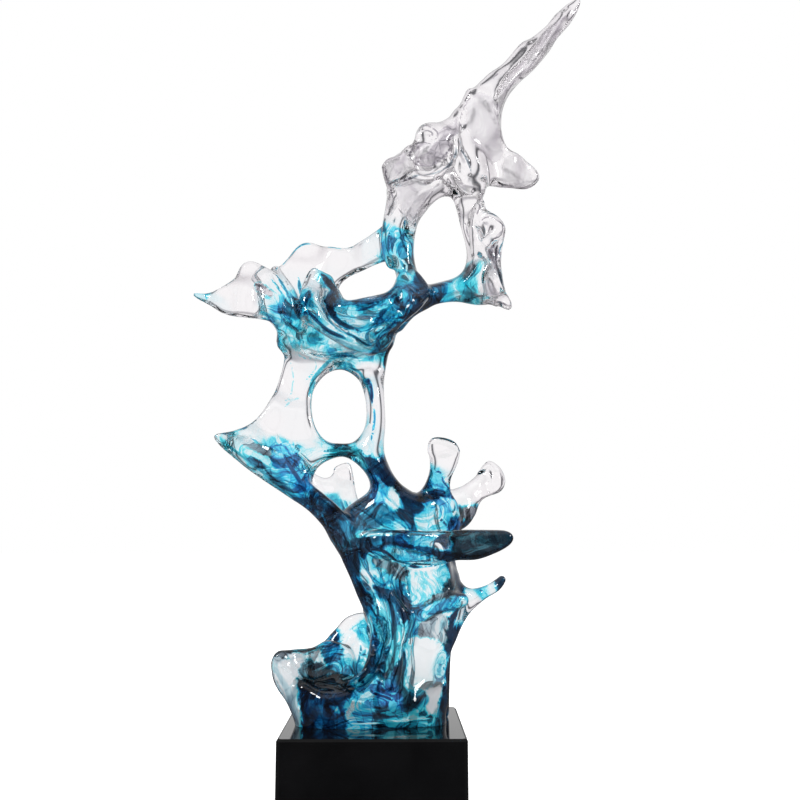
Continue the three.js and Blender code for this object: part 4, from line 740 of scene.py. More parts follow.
STRANDS = {
    "wave_crest": (0.62, 0.4, 1.1, [
        (-92, -15, 389), (-86, 19, 408), (-75, 28, 425), (-63, 28, 430), (-44, 18, 424), (-29, 14, 420),
    ]),
    "fold_dark": (0.55, 0.45, 1, [(-93, -17, 384), (-87, -17, 376), (-81, -18, 366), (-77, -22, 354)]),
    "fold_dark_two": (0.65, 0.45, 1.2, [
        (-88, -15, 387), (-81, -16, 376), (-75, -19, 364), (-71, -24, 348),
    ]),
    "fold_deep": (0.66, 0.4, 1.6, [(-72, 18, 394), (-69, 13, 379), (-64, -34, 355), (-64, -31, 347)]),
    "curl": (0.92, 0.5, 1.7, [
        (-64, -25, 339), (-61, -34, 347), (-57, -37, 348), (-49, -38, 340), (-39, -40, 331),
        (-27, -42, 325), (-15, -44, 318),
    ]),
    "curl_light": (0, 0.3, 1.3, [
        (-62, -35, 350), (-57, -36, 352), (-50, -38, 345), (-39, -41, 335), (-27, -44, 329),
    ]),
    "wing_ridge": (0.62, 0.75, 1.1, [
        (-106, -32, 240), (-101, -31, 237), (-96, -30, 231), (-90, -26, 230), (-85, -21, 234),
        (-79, -19, 235), (-75, -19, 230), (-69, -24, 222), (-63, -23, 219), (-57, -23, 212),
    ]),
    "wave_glint": (0.03, 0.3, 0.9, [
        (-62, -31, 344), (-59, -36, 350), (-56, -36, 344), (-52, -36, 339), (-47, -39, 337),
    ]),
    "low_wave": (0.8, 0.3, 1.1, [(-78, -20, 344), (-71, -23, 338), (-65, -23, 335), (-60, -24, 339)]),
    "low_wave_light": (0.14, 0.3, 1, [
        (-82, -10, 334), (-74, -12, 333), (-67, -12, 327), (-61, -12, 331),
    ]),
    "crescent_dark": (0.9, 0.45, 2, [
        (-36, -35, 369), (-40, -43, 359), (-38, -49, 347), (-31, -52, 338), (-24, -53, 333),
        (-12, -51, 329),
    ]),
    "crescent_light": (0.02, 0.3, 1.6, [
        (-32, -52, 351), (-28, -53, 342), (-20, -52, 337), (-10, -51, 333),
    ]),
    "bowl_light": (0.05, 0.35, 1.5, [(-21, -53, 337), (-9, -51, 339), (3, -46, 347), (12, -46, 354)]),
    "bowl_light_two": (0.12, 0.35, 1.2, [
        (-10, -50, 327), (3, -46, 331), (15, -43, 339), (22, -43, 347),
    ]),
    "bowl_dark": (0.78, 0.55, 1.3, [(-19, -54, 346), (-7, -51, 348), (7, -48, 357), (17, -38, 367)]),
    "bowl_keel": (0.8, 0.3, 1.2, [(-28, -43, 331), (-16, -48, 324), (-5, -45, 318), (8, -28, 322)]),
    "waist_rim": (0.5, 0.2, 1.5, [
        (-26, -25, 315), (-36, -8, 314), (-46, -4, 306), (-55, -2, 295), (-59, -2, 280),
    ]),
    "waist_rim_two": (0.55, 0.25, 1.3, [
        (-26, -6, 306), (-15, -11, 301), (-7, -18, 289), (-3, -20, 278),
    ]),
    "waist_wisp": (0.22, 0.2, 0.8, [(-70, -7, 319), (-64, -5, 314), (-53, -6, 315), (-52, -11, 325)]),
    "waist_wisp_two": (0.24, 0.2, 0.8, [
        (-53, -7, 316), (-53, -4, 305), (-59, -3, 297), (-62, -3, 295),
    ]),
    "waist_wisp_three": (0.2, 0.2, 0.8, [
        (-76, -1, 313), (-73, -2, 297), (-75, -5, 280), (-81, -11, 274),
    ]),
    "waist_wisp_four": (0.16, 0.2, 1, [(-79, -14, 268), (-73, -7, 276), (-66, -4, 278)]),
    "window_rim": (0.62, 0.2, 1.1, [
        (-53, 0, 295), (-56, -1, 280), (-55, -7, 265), (-52, -8, 252), (-43, -18, 239), (-30, -23, 232),
        (-18, -20, 237),
    ]),
    "strut_blue": (0.93, 0.97, 1.5, [(-5, -18, 294), (-3, -20, 283), (-2, -20, 272)]),
    "strut_blue_two": (0.55, 0.8, 1.1, [(-2, -20, 272), (0, -21, 260), (-1, -22, 248), (-3, -24, 237)]),
    "strut_light": (0.12, 0.5, 1.1, [(-7, -18, 275), (-3, -21, 257), (-3, -24, 241)]),
    "wing_edge": (0.5, 0.1, 1.2, [
        (-133, -42, 240), (-120, -38, 230), (-103, -34, 217), (-87, -26, 204), (-72, -26, 193),
    ]),
    "wing_blue": (0.8, 0.95, 2, [(-78, -23, 226), (-72, -28, 216), (-65, -31, 206), (-60, -32, 197)]),
    "bridge_green": (0.68, 0, 1.6, [(-45, -22, 229), (-30, -23, 230), (-17, -24, 227), (-7, -24, 219)]),
    "band_black": (0.98, 0.55, 2.6, [
        (-2, -25, 218), (8, -25, 211), (19, -25, 201), (29, -25, 190), (41, -27, 180),
    ]),
    "neck_dark": (0.8, 0.6, 1.4, [(13, -18, 426), (12, -17, 416), (13, -17, 404)]),
    "neck_edge": (0.96, 0.5, 1.8, [(36, -6, 402), (37, -17, 390), (41, -18, 381), (48, -16, 376)]),
    "neck_light": (0.05, 0.4, 1.2, [(22, -16, 403), (28, -16, 396), (26, -20, 385)]),
    "lobe_line": (0.8, 0.9, 1, [
        (51, -23, 210), (56, -28, 211), (59, -23, 204), (64, -20, 198), (73, 5, 193),
    ]),
    "lobe_zigzag": (0.8, 0.95, 1.2, [(54, -23, 173), (59, -21, 169), (64, -19, 164), (68, -20, 170)]),
    "lip_shadow": (0.95, 0.5, 1.6, [
        (-18, -30, 143), (-5, -37, 146), (9, -41, 144), (20, -44, 135), (34, -19, 131), (57, -14, 132),
    ]),
    "lip_light": (0.1, 0.4, 1.3, [(-13, -32, 156), (2, -39, 158), (19, -45, 158), (34, -55, 158)]),
    "trunk_left_light": (0.02, 0.6, 1.8, [
        (-10, -32, 139), (-8, -29, 130), (-4, -28, 118), (-1, -30, 112),
    ]),
    "trunk_dark": (0.92, 0.5, 2.2, [
        (2, -27, 116), (10, -29, 110), (15, -32, 99), (17, -34, 86), (16, -27, 71),
    ]),
    "trunk_edge": (0.8, 0.4, 2, [(-24, -26, 140), (-15, -29, 120), (-8, -30, 100), (-4, 21, 74)]),
    "trunk_light": (0.08, 0.4, 1.1, [(20, -37, 94), (25, -38, 80), (23, -36, 63), (20, -37, 52)]),
    "trunk_line": (0.85, 0.7, 1.2, [(1, -31, 104), (4, -34, 92), (1, -34, 78), (3, -37, 64)]),
    "foot_arc": (0.88, 0.35, 1.8, [
        (-6, 19, 76), (0, -36, 65), (-3, -39, 51), (-11, -41, 40), (-24, -22, 31), (-38, -21, 31),
    ]),
    "foot_arc_light": (0.12, 0.3, 1.2, [
        (-9, 21, 71), (-6, 12, 58), (-10, 10, 46), (-17, -4, 39), (-27, -11, 36),
    ]),
    "foot_arc_two": (0.7, 0.4, 1.1, [
        (-13, 16, 66), (-12, 11, 55), (-16, 7, 45), (-24, -5, 41), (-34, -4, 40),
    ]),
    "foot_line": (0.1, 0.3, 1, [(-23, -35, 6), (-9, -35, 4), (14, -34, 6), (39, -26, 6), (57, -18, 8)]),
    "foot_blue": (0.85, 1, 1.3, [(-9, -41, 39), (0, -33, 29), (11, -33, 25), (22, -32, 21)]),
    "foot_blue_two": (0.8, 0.9, 1.2, [(-4, -40, 43), (6, -32, 36), (16, -36, 31), (24, -30, 25)]),
    "spike_beads": (0.7, 0.4, 1.2, [(92, 16, 109), (97, 17, 108)]),
    # from here on, grey strands on the clear head, neck, fins and blade are painted shade: dark lines
    # laid along its creases, where clear resin shows shade by refraction
    "knob_ring": (0.5, -1, 0.9, [
        (39, -21, 518), (41, -18, 525), (49, -20, 524), (56, -21, 518), (54, -21, 512), (42, -22, 512),
    ]),
    "knob_coil": (0.45, -1, 0.8, [(43, -22, 519), (48, -22, 520), (52, -22, 516), (48, -23, 514)]),
    "ring_left": (0.55, -1, 1, [
        (50, -21, 508), (38, -22, 508), (32, -26, 498), (31, -26, 492), (38, -21, 487), (48, -18, 488),
    ]),
    "ring_right": (0.55, -1, 1, [
        (48, -18, 488), (60, -19, 495), (67, -20, 503), (72, -27, 508), (62, -21, 511), (50, -21, 507),
    ]),
    "jaw_line": (0.72, -0.8, 1.2, [
        (20, -32, 466), (34, -30, 473), (44, -22, 477), (54, -19, 480), (66, -17, 488), (72, -28, 495),
        (72, -27, 508),
    ]),
    "brow_line": (0.6, -0.8, 1.1, [
        (74, -23, 516), (77, -23, 505), (80, -15, 500), (84, -14, 493), (87, -12, 485),
    ]),
    "seam_line": (0.4, -1, 0.8, [
        (75, -23, 516), (77, -14, 532), (80, -13, 543), (84, -13, 552), (90, -14, 559),
    ]),
    "face_edge": (0.55, -1, 0.9, [(10, -34, 483), (10, -33, 473), (14, -30, 462), (17, -26, 451)]),
    "face_top": (0.45, -1, 0.8, [(11, -33, 486), (17, -13, 500), (28, -26, 498)]),
    "neck_line": (0.45, -1, 0.8, [(17, -26, 450), (25, -22, 441), (32, -17, 435)]),
    "neck_line_two": (0.4, -1, 0.8, [(56, -16, 471), (48, -15, 460), (39, -17, 447), (32, -17, 435)]),
    "arm_line": (0.45, -1, 0.8, [(77, 6, 461), (81, 7, 448), (85, 6, 431), (88, -6, 412)]),
    "chain_line": (0.55, -1, 0.9, [(96, -3, 474), (98, 5, 468), (95, -8, 454), (91, -8, 444)]),
    "eye_line": (0.55, -1, 0.9, [
        (94, -9, 438), (101, -12, 442), (110, -16, 437), (115, -17, 430), (105, -15, 419),
        (94, -14, 411),
    ]),
    "twist_line": (0.75, -0.9, 1.3, [
        (110, -11, 418), (109, -9, 408), (109, -15, 396), (112, -20, 382), (115, -20, 372),
    ]),
    "twist_line_two": (0.5, -1, 0.9, [(98, -15, 414), (93, -9, 405), (86, -5, 397), (79, -4, 388)]),
    "fin_line": (0.5, -1, 0.8, [(89, -4, 373), (100, -10, 367), (110, -30, 359), (117, -32, 355)]),
    "back_line": (0.55, -1, 0.9, [(111, -14, 555), (113, -7, 543), (118, 3, 530), (130, 15, 519)]),
    "blade_line": (0.45, -1, 0.8, [(94, -14, 565), (109, -12, 576), (127, -2, 600), (143, 0, 617)]),
    "blade_line_two": (0.4, -1, 0.8, [
        (110, -14, 557), (126, -9, 571), (144, -4, 591), (162, 5, 620), (182, 15, 652),
    ]),
}
PANES = {
    "curl_wall": (0.03, 0.3, -42, [
        (-49, 371), (-46, 372), (-39, 366), (-42, 359), (-39, 349), (-37, 341), (-31, 334), (-24, 330),
        (-10, 327), (-14, 323), (-21, 325), (-30, 329), (-39, 334), (-47, 340), (-52, 349), (-54, 359),
    ]),
    "curl_dark": (0.92, 0.45, -50, [
        (-38, 365), (-34, 359), (-34, 352), (-32, 344), (-29, 338), (-24, 333), (-28, 332), (-34, 338),
        (-38, 347), (-42, 357),
    ]),
    "crescent": (0.02, 0.3, -52, [
        (-32, 342), (-28, 340), (-22, 336), (-14, 337), (-7, 340), (-6, 336), (-14, 332), (-22, 332),
        (-29, 336),
    ]),
    "bowl_teal": (0.25, 0.3, -52, [
        (-35, 358), (-28, 355), (-21, 353), (-14, 353), (-15, 347), (-21, 344), (-27, 347), (-32, 350),
    ]),
    "bowl_rim": (0.62, 0.3, -46, [
        (-19, 356), (-11, 357), (0, 361), (10, 363), (16, 365), (10, 359), (2, 355), (-9, 350),
        (-15, 348),
    ]),
    "bowl_white": (0.05, 0.4, -50, [
        (-18, 339), (-10, 342), (-4, 347), (5, 351), (3, 346), (-6, 339), (-14, 337),
    ]),
    "bowl_bright": (0.2, 0.45, -46, [(0, 354), (7, 359), (13, 363), (18, 361), (12, 355), (3, 351)]),
    "bowl_outer": (0.42, 0.45, -46, [
        (-20, 331), (-7, 334), (5, 343), (15, 353), (24, 359), (22, 350), (13, 340), (0, 332),
        (-11, 327),
    ]),
    "wave_pocket": (0.48, 0.4, -33, [
        (-64, 370), (-59, 372), (-55, 366), (-53, 359), (-55, 352), (-60, 353), (-63, 361),
    ]),
    "wave_tip": (0.55, 0.35, -31, [
        (-47, 386), (-43, 382), (-37, 376), (-33, 371), (-36, 368), (-42, 374),
    ]),
    "wave_white": (0.04, 0.3, -32, [(-64, 335), (-62, 340), (-57, 340), (-54, 339), (-49, 334)]),
    "under_wave": (0.42, -0.25, -12, [
        (-79, 341), (-69, 335), (-62, 335), (-44, 337), (-47, 331), (-59, 331), (-70, 328), (-79, 332),
    ]),
    "lilac_strip": (0.13, -0.4, -38, [
        (-42, 331), (-29, 325), (-16, 320), (-5, 315), (-11, 313), (-25, 318), (-40, 323),
    ]),
    "root_blue": (0.34, 0.8, -17, [(-90, 356), (-85, 356), (-80, 350), (-79, 345), (-86, 348)]),
    "root_smoke": (0.4, 0.3, -23, [
        (-79, 363), (-71, 368), (-62, 356), (-63, 346), (-72, 343), (-77, 350),
    ]),
    "wing_facet": (0.36, -1, -18, [
        (-105, 378), (-100, 379), (-95, 375), (-87, 369), (-92, 366), (-100, 368), (-105, 371),
    ]),
    "neck_mosaic": (0.33, 0.5, -16, [
        (15, 419), (22, 423), (33, 424), (34, 412), (29, 405), (22, 403), (17, 408),
    ]),
    "neck_smoke": (0.62, -0.3, -16, [(24, 401), (30, 404), (35, 401), (37, 390), (33, 384), (28, 390)]),
    "wing_blue": (0.33, 0.85, -26, [
        (-88, 232), (-81, 235), (-72, 232), (-67, 223), (-63, 216), (-54, 211), (-53, 195), (-63, 190),
        (-71, 196), (-77, 206), (-84, 214), (-88, 223),
    ]),
    "wing_cyan": (0.2, 0.7, -30, [
        (-66, 209), (-60, 211), (-55, 206), (-55, 197), (-61, 195), (-65, 200),
    ]),
    "wing_smoke": (0.2, -0.6, -33, [
        (-125, 241), (-109, 240), (-101, 236), (-94, 232), (-88, 231), (-88, 225), (-95, 226),
        (-105, 230), (-115, 234),
    ]),
    "wing_green": (0.14, 0, -38, [
        (-137, 243), (-123, 235), (-117, 230), (-109, 222), (-117, 223), (-125, 231),
    ]),
    "wing_line": (0.38, 0.4, -31, [
        (-117, 229), (-107, 224), (-95, 218), (-83, 210), (-74, 201), (-65, 191), (-55, 182),
        (-64, 182), (-74, 192), (-85, 203), (-99, 214), (-109, 222),
    ]),
    "wing_pale": (0.08, 0.55, -26, [
        (-109, 220), (-99, 214), (-87, 204), (-75, 194), (-84, 196), (-96, 205), (-106, 213),
    ]),
    "elbow": (0.72, 0.45, -28, [
        (-61, 189), (-52, 189), (-46, 180), (-37, 174), (-29, 170), (-19, 169), (-14, 164), (-20, 156),
        (-27, 148), (-35, 156), (-44, 168), (-54, 179),
    ]),
    "waist_corner": (0.06, 0.3, -21, [
        (-66, 233), (-47, 233), (-38, 229), (-46, 224), (-52, 218), (-60, 220), (-66, 225),
    ]),
    "bridge": (0.62, 0, -23, [
        (-38, 230), (-25, 232), (-18, 233), (-13, 228), (-11, 223), (-19, 224), (-30, 226),
    ]),
    "strut_pale": (0.05, 0.5, -24, [
        (-18, 234), (-11, 239), (-4, 243), (-1, 234), (-2, 226), (-7, 224), (-11, 231),
    ]),
    "band": (0.97, 0.5, -26, [
        (-10, 225), (-4, 224), (4, 221), (11, 215), (16, 206), (21, 199), (26, 192), (33, 187),
        (38, 186), (36, 177), (26, 178), (23, 189), (19, 198), (13, 203), (9, 199), (5, 207), (-2, 211),
        (-7, 217),
    ]),
    "blue_pocket": (0.38, 0.9, -23, [
        (-4, 210), (2, 209), (7, 204), (12, 196), (10, 186), (2, 185), (-2, 189), (-4, 201),
    ]),
    "lilac_facet": (0.04, -0.8, -26, [
        (13, 200), (17, 197), (21, 190), (21, 180), (16, 179), (14, 187),
    ]),
    "dark_mid": (0.78, 0.35, -26, [
        (-2, 184), (12, 184), (15, 176), (31, 176), (34, 172), (22, 170), (12, 169), (5, 164),
        (-8, 162), (-20, 158), (-24, 160), (-14, 169), (-7, 176),
    ]),
    "teal_chip": (0.3, 0.35, -25, [(7, 176), (14, 179), (13, 171), (9, 167)]),
    "pale_streak": (0.1, -0.5, -31, [
        (-18, 155), (-10, 161), (-2, 163), (10, 165), (2, 160), (-8, 157),
    ]),
    "deck_cyan": (0.32, 0.55, -26, [
        (14, 169), (22, 170), (30, 169), (34, 165), (36, 162), (26, 163), (15, 164),
    ]),
    "deck_white": (0.15, 0.45, -25, [
        (32, 173), (39, 175), (48, 175), (61, 176), (67, 174), (64, 167), (62, 162), (48, 162),
        (40, 163), (35, 167),
    ]),
    "lobe_blue": (0.2, 0.85, -21, [
        (43, 184), (53, 187), (63, 190), (71, 187), (72, 179), (65, 175), (55, 176), (48, 178),
    ]),
    "lobe_smoke": (0.5, -0.9, 3, [
        (74, 178), (79, 181), (86, 183), (91, 181), (89, 175), (84, 170), (77, 173),
    ]),
    "lip_dark": (0.7, 0.6, -48, [(4, 157), (20, 158), (33, 157), (33, 151), (22, 150), (9, 150)]),
    "lip_cyan": (0.24, 0.5, -56, [(34, 157), (42, 158), (48, 158), (50, 153), (45, 150), (35, 150)]),
    "lip_white": (0.02, 0.4, -61, [
        (47, 159), (60, 159), (62, 154), (65, 150), (59, 146), (53, 147), (49, 151),
    ]),
    "lip_blade": (0.88, -0.2, -61, [
        (64, 159), (79, 160), (95, 160), (108, 158), (112, 154), (107, 150), (93, 143), (79, 138),
        (67, 138), (64, 144), (66, 150), (63, 155),
    ]),
    "lip_black": (0.92, 0.5, -51, [
        (9, 153), (20, 153), (33, 150), (45, 148), (54, 145), (62, 140), (65, 136), (54, 139),
        (43, 143), (30, 146), (19, 148), (10, 149),
    ]),
    "drip_one": (0.16, 0.5, -45, [
        (12, 146), (19, 146), (25, 142), (31, 136), (29, 133), (23, 136), (16, 140),
    ]),
    "drip_two": (0.18, 0.5, -50, [
        (29, 144), (39, 143), (50, 140), (60, 135), (60, 132), (50, 132), (38, 136),
    ]),
    "trunk_smoke": (0.5, -0.7, -26, [
        (-6, 139), (9, 139), (21, 134), (32, 128), (28, 122), (25, 116), (19, 121), (10, 128), (1, 131),
    ]),
    "trunk_sliver": (0, 0.5, -29, [
        (-11, 139), (-6, 132), (-2, 129), (-3, 124), (-1, 112), (-6, 119), (-10, 128),
    ]),
    "trunk_cyan": (0.18, 0.5, -28, [
        (-1, 129), (4, 130), (12, 126), (20, 120), (21, 116), (15, 114), (5, 117), (-1, 119),
    ]),
    "high_window": (0.09, 0.4, -16, [
        (29, 125), (36, 127), (48, 128), (63, 130), (65, 125), (65, 119), (59, 113), (53, 109),
        (46, 104), (40, 100), (33, 98), (31, 103), (28, 110), (24, 108), (27, 115),
    ]),
    "high_dark": (0.9, 0.5, -28, [
        (-1, 115), (9, 114), (20, 112), (26, 107), (31, 101), (32, 93), (26, 86), (22, 90), (19, 99),
        (12, 105), (5, 109),
    ]),
    "high_smoke": (0.62, -0.6, -14, [
        (57, 111), (66, 122), (70, 118), (75, 111), (69, 106), (60, 105), (49, 101), (42, 97),
        (46, 103), (53, 109),
    ]),
    "sill_cyan": (0.2, 0.6, -18, [
        (39, 96), (48, 100), (56, 102), (66, 105), (77, 107), (76, 99), (69, 94), (61, 94), (50, 93),
    ]),
    "low_smoke": (0.2, -0.8, -12, [
        (39, 83), (48, 88), (56, 92), (65, 85), (64, 75), (62, 65), (54, 71), (46, 72), (38, 72),
    ]),
    "low_window": (0.02, 0.4, -17, [
        (30, 71), (39, 71), (50, 69), (57, 65), (61, 59), (60, 46), (57, 31), (49, 29), (42, 29),
        (36, 30), (31, 34), (29, 47), (31, 57),
    ]),
    "window_tail": (0.03, -0.9, -21, [
        (42, 29), (49, 30), (57, 32), (57, 25), (54, 18), (51, 13), (49, 8), (45, 13), (42, 16),
        (46, 18), (46, 23),
    ]),
    "ribbon": (0.2, 0.1, -35, [
        (20, 81), (24, 86), (26, 78), (26, 64), (20, 56), (16, 49), (12, 41), (10, 48), (12, 58),
        (16, 67),
    ]),
    "teal_high": (0.42, 0.35, -33, [
        (-2, 95), (5, 100), (12, 94), (17, 87), (19, 79), (14, 72), (7, 67), (2, 74), (-2, 83),
    ]),
    "teal_low": (0.46, 0.4, -32, [(1, 64), (9, 71), (10, 58), (7, 47), (3, 42), (-1, 56)]),
    "right_column": (0.95, 0.5, -9, [
        (63, 86), (69, 92), (73, 98), (71, 90), (67, 80), (64, 64), (64, 36), (63, -10), (58, -8),
        (60, 20), (62, 52),
    ]),
    "olive": (0.82, 0.1, -27, [
        (21, 52), (26, 60), (26, 52), (25, 43), (26, 33), (31, 26), (34, 20), (32, 13), (27, 11),
        (25, 18), (24, 27), (20, 40),
    ]),
    "crystal": (0.2, 0.6, -34, [
        (-18, 26), (-12, 34), (-4, 35), (1, 26), (-1, 17), (-3, -7), (-21, -7), (-19, 11), (-13, 18),
    ]),
    "crystal_blue": (0.5, 1, -33, [(4, 32), (14, 32), (24, 25), (25, 20), (16, 18), (9, 21), (4, 25)]),
    "base_navy": (0.6, 0.25, -34, [(2, 17), (14, 18), (24, 15), (25, 6), (25, -8), (-2, -7), (-1, 6)]),
    "base_teal": (0.36, 0.12, -24, [
        (26, 5), (33, 9), (41, 15), (45, 11), (52, 6), (58, 7), (58, -10), (26, -8),
    ]),
    "lobe_face": (0.1, -0.7, -15, [
        (-86, 48), (-77, 46), (-70, 41), (-64, 35), (-64, 26), (-61, 12), (-60, -7), (-68, -9),
        (-72, 15), (-79, 29), (-84, 40),
    ]),
    "lobe_strip": (0.12, -0.8, -11, [
        (-86, 54), (-78, 55), (-72, 51), (-65, 43), (-61, 37), (-68, 40), (-76, 46), (-84, 49),
    ]),
    "lobe_rim": (0.78, -0.7, -1, [
        (-86, 56), (-81, 60), (-71, 60), (-59, 60), (-48, 63), (-53, 59), (-60, 56), (-67, 58),
        (-73, 55), (-78, 55),
    ]),
    "lobe_oval": (0.12, -0.8, -4, [
        (-73, 55), (-69, 58), (-63, 57), (-59, 52), (-60, 47), (-65, 45), (-71, 50),
    ]),
    "lobe_triangle": (0.04, -0.7, 0, [
        (-58, 55), (-53, 59), (-47, 60), (-45, 54), (-42, 48), (-50, 51),
    ]),
    "lobe_dark": (0.74, -0.3, -10, [
        (-65, 45), (-58, 51), (-51, 50), (-42, 46), (-34, 41), (-23, 37), (-15, 37), (-28, 30),
        (-43, 32), (-56, 37), (-63, 40),
    ]),
    "fan": (0.6, 0.6, 2, [(-45, 64), (-37, 70), (-31, 74), (-29, 63), (-28, 55), (-33, 48), (-39, 55)]),
    "fan_white": (0.03, 0.4, 17, [
        (-29, 71), (-20, 74), (-15, 76), (-15, 66), (-19, 59), (-24, 52), (-27, 59),
    ]),
    "foot_black": (0.8, 0.6, -33, [
        (-59, 33), (-45, 33), (-32, 29), (-20, 31), (-22, 24), (-29, 21), (-39, 23), (-42, 18),
        (-35, 11), (-26, 14), (-22, 11), (-22, -7), (-59, -8), (-58, 12),
    ]),
    "chip_three": (0.2, 0.8, -33, [(-48, 5), (-41, 9), (-37, 3), (-43, -2)]),
    "chip_four": (0.24, 0.7, -34, [(-38, -1), (-31, 2), (-28, -3), (-34, -7)]),
    "chip_five": (0.22, 0.6, -27, [(-56, 30), (-51, 27), (-51, 19), (-56, 20)]),
    "chip_one": (0.22, 0.6, -34, [(-35, 18), (-30, 19), (-28, 15), (-33, 13)]),
    "chip_two": (0.26, 0.75, -35, [(-23, 22), (-18, 25), (-19, 19), (-23, 15)]),
    # these grey facet panes on the clear head, neck, fins and blade are painted shade: broad soft grey
    # on facets that clear resin shows by refraction, not ink
    "cheek_facet": (0.07, -1, -31, [
        (8, 485), (16, 496), (28, 497), (31, 491), (29, 481), (19, 473), (12, 469), (10, 476),
    ]),
    "brow_facet": (0.09, -1, -21, [
        (58, 521), (68, 531), (75, 536), (74, 516), (66, 511), (58, 509), (56, 515),
    ]),
    "knob_core": (0.12, -1, -21, [
        (38, 507), (50, 509), (64, 509), (69, 504), (62, 495), (51, 488), (38, 487), (32, 493),
    ]),
    "neck_facet": (0.05, -1, -26, [
        (19, 466), (33, 473), (47, 469), (55, 470), (42, 453), (32, 436), (24, 443), (20, 455),
    ]),
    "blade_facet": (0.05, -1, -10, [
        (83, 550), (96, 560), (107, 557), (110, 544), (114, 529), (121, 510), (110, 501), (96, 507),
        (86, 517), (83, 534),
    ]),
    "spike_facet": (0.06, -1, -3, [
        (159, 631), (169, 639), (181, 650), (176, 635), (164, 618), (145, 591), (125, 567), (115, 557),
        (111, 563), (126, 585), (144, 606),
    ]),
    "right_facet": (0.03, -1, 14, [
        (119, 508), (132, 514), (145, 505), (150, 488), (135, 483), (118, 487),
    ]),
    "twist_facet": (0.16, -1, -12, [
        (99, 411), (107, 416), (113, 411), (110, 401), (110, 386), (105, 392), (101, 403),
    ]),
    "fin_facet": (0.06, -1, -13, [
        (93, 382), (101, 383), (107, 373), (114, 365), (103, 368), (93, 375),
    ]),
}
INK_REACH_MM = 4
THROUGH_DEPTH = 0.6
DRIFT_MM = 3.0
DRIFT_WAVE_MM = 22
DRIFT_SEED = 4
SWIRLS = 5
STRAND_THROUGH_DEPTH = 0.45
STRANDS_FAR = 9.0
STRAND_POINT = 5
THINNEST_END = 0.15
STRAND_STAIN = 3
PALE_BELOW = 0.15
PANE_EDGE_MM = 6
PANE_DEPTH_MM = 34
ROUND_TURN = 6.3


def swirled(at):
    # a slow curl of the pour: each place looks for its ink a little way off
    turned = np.random.default_rng(DRIFT_SEED)
    moved = np.zeros_like(at)
    for _ in range(SWIRLS):
        axis = turned.normal(size=(3, 3))
        phase = turned.uniform(0, ROUND_TURN, 3)
        moved += np.sin(at @ axis.T * (2 / DRIFT_WAVE_MM) + phase)
    return at + moved * DRIFT_MM / 3


def ink_at(at):
    drifted = swirled(at)
    density, blueness, total = np.zeros((3, len(at)))
    for x, y, z, dense, hue in (drop for pour in INK.values() for drop in pour):
        # a drop spreads further through the casting's depth than across its face
        off = (drifted - (x, y, z)) * (1, THROUGH_DEPTH, 1)
        weight = 1 / ((off**2).sum(1) + INK_REACH_MM**2) ** 4
        density += weight * dense
        blueness += weight * hue
        total += weight
    return density / total, blueness / total


def strands_at(at, pale):
    # how many half widths away the nearest strand is, and that strand's density and hue
    nearest = np.full(len(at), STRANDS_FAR)
    dense_there, hue_there = np.zeros((2, len(at)))
    for dense, hue, half_width, line in STRANDS.values():
        if (dense < PALE_BELOW) != pale:
            continue
        path = rounded_curve(line, False, CURVE_STEPS)
        for step, (a, b) in enumerate(zip(path, path[1:])):
            along = b - a
            t = np.clip((at - a) @ along / (along @ along), 0, 1)
            apart = (at - a - t[:, None] * along) * (1, STRAND_THROUGH_DEPTH, 1)
            # a strand is drawn out to a point at both ends
            drawn_out = (step + t) / (len(path) - 1)
            from_end = STRAND_POINT * np.minimum(drawn_out, 1 - drawn_out)
            width = half_width * np.clip(from_end, THINNEST_END, 1) ** 0.5
            away = np.linalg.norm(apart, axis=1) / width
            closer = away < nearest
            nearest[closer] = away[closer]
            dense_there[closer] = dense
            hue_there[closer] = hue
    return nearest, dense_there, hue_there


def panes_at(at):
    # how far inside the deepest pane of one tone each place lies, and that pane's density and hue
    deepest = np.full(len(at), -PANE_EDGE_MM)
    dense_there, hue_there = np.zeros((2, len(at)))
    flat = at[:, (0, 2)]
    for dense, hue, depth, outline in PANES.values():
        corners = np.array(outline, float)
        low, high = corners.min(0) - PANE_EDGE_MM, corners.max(0) + PANE_EDGE_MM
        in_front = np.abs(at[:, 1] - depth) < PANE_DEPTH_MM
        close = np.flatnonzero(((flat > low) & (flat < high)).all(1) & in_front)
        spot = flat[close]
        nearest = np.full(len(close), FAR_MM)
        within = np.zeros(len(close), bool)
        for a, b in zip(corners, np.roll(corners, -1, 0)):
            along = b - a
            t = np.clip((spot - a) @ along / (along @ along), 0, 1)
            nearest = np.minimum(nearest, np.linalg.norm(spot - a - t[:, None] * along, axis=1))
            crosses = (a[1] > spot[:, 1]) != (b[1] > spot[:, 1])
            height = along[1] or TINY
            within ^= crosses & (spot[:, 0] < a[0] + (spot[:, 1] - a[1]) * along[0] / height)
        inside_by = np.where(within, nearest, -nearest)
        deeper = inside_by > deepest[close]
        chosen = close[deeper]
        deepest[chosen] = np.minimum(inside_by[deeper], PANE_EDGE_MM)
        dense_there[chosen] = dense
        hue_there[chosen] = hue
    return deepest, dense_there, hue_there


def rgba(colour):
    # a single number is a grey
    return (*colour, 1) if isinstance(colour, tuple) else (colour, colour, colour, 1)


def give(socket, value):
    # a socket is given another socket's output, or a plain value
    if isinstance(value, bpy.types.NodeSocket):
        socket.id_data.links.new(value, socket)
    elif socket.type == "RGBA":
        socket.default_value = rgba(value)
    else:
        socket.default_value = value


def fill(made, **settings):
    for key, value in settings.items():
        if hasattr(made, key):
            setattr(made, key, value)
        else:
            give(made.inputs[key.replace("_", " ")], value)
    return made


def node(tree, kind, **settings):
    return fill(tree.nodes.new(kind), **settings)


def new_material(name):
    material = bpy.data.materials.new(name)
    material.use_nodes = True
    return material, material.node_tree, material.node_tree.nodes["Principled BSDF"]


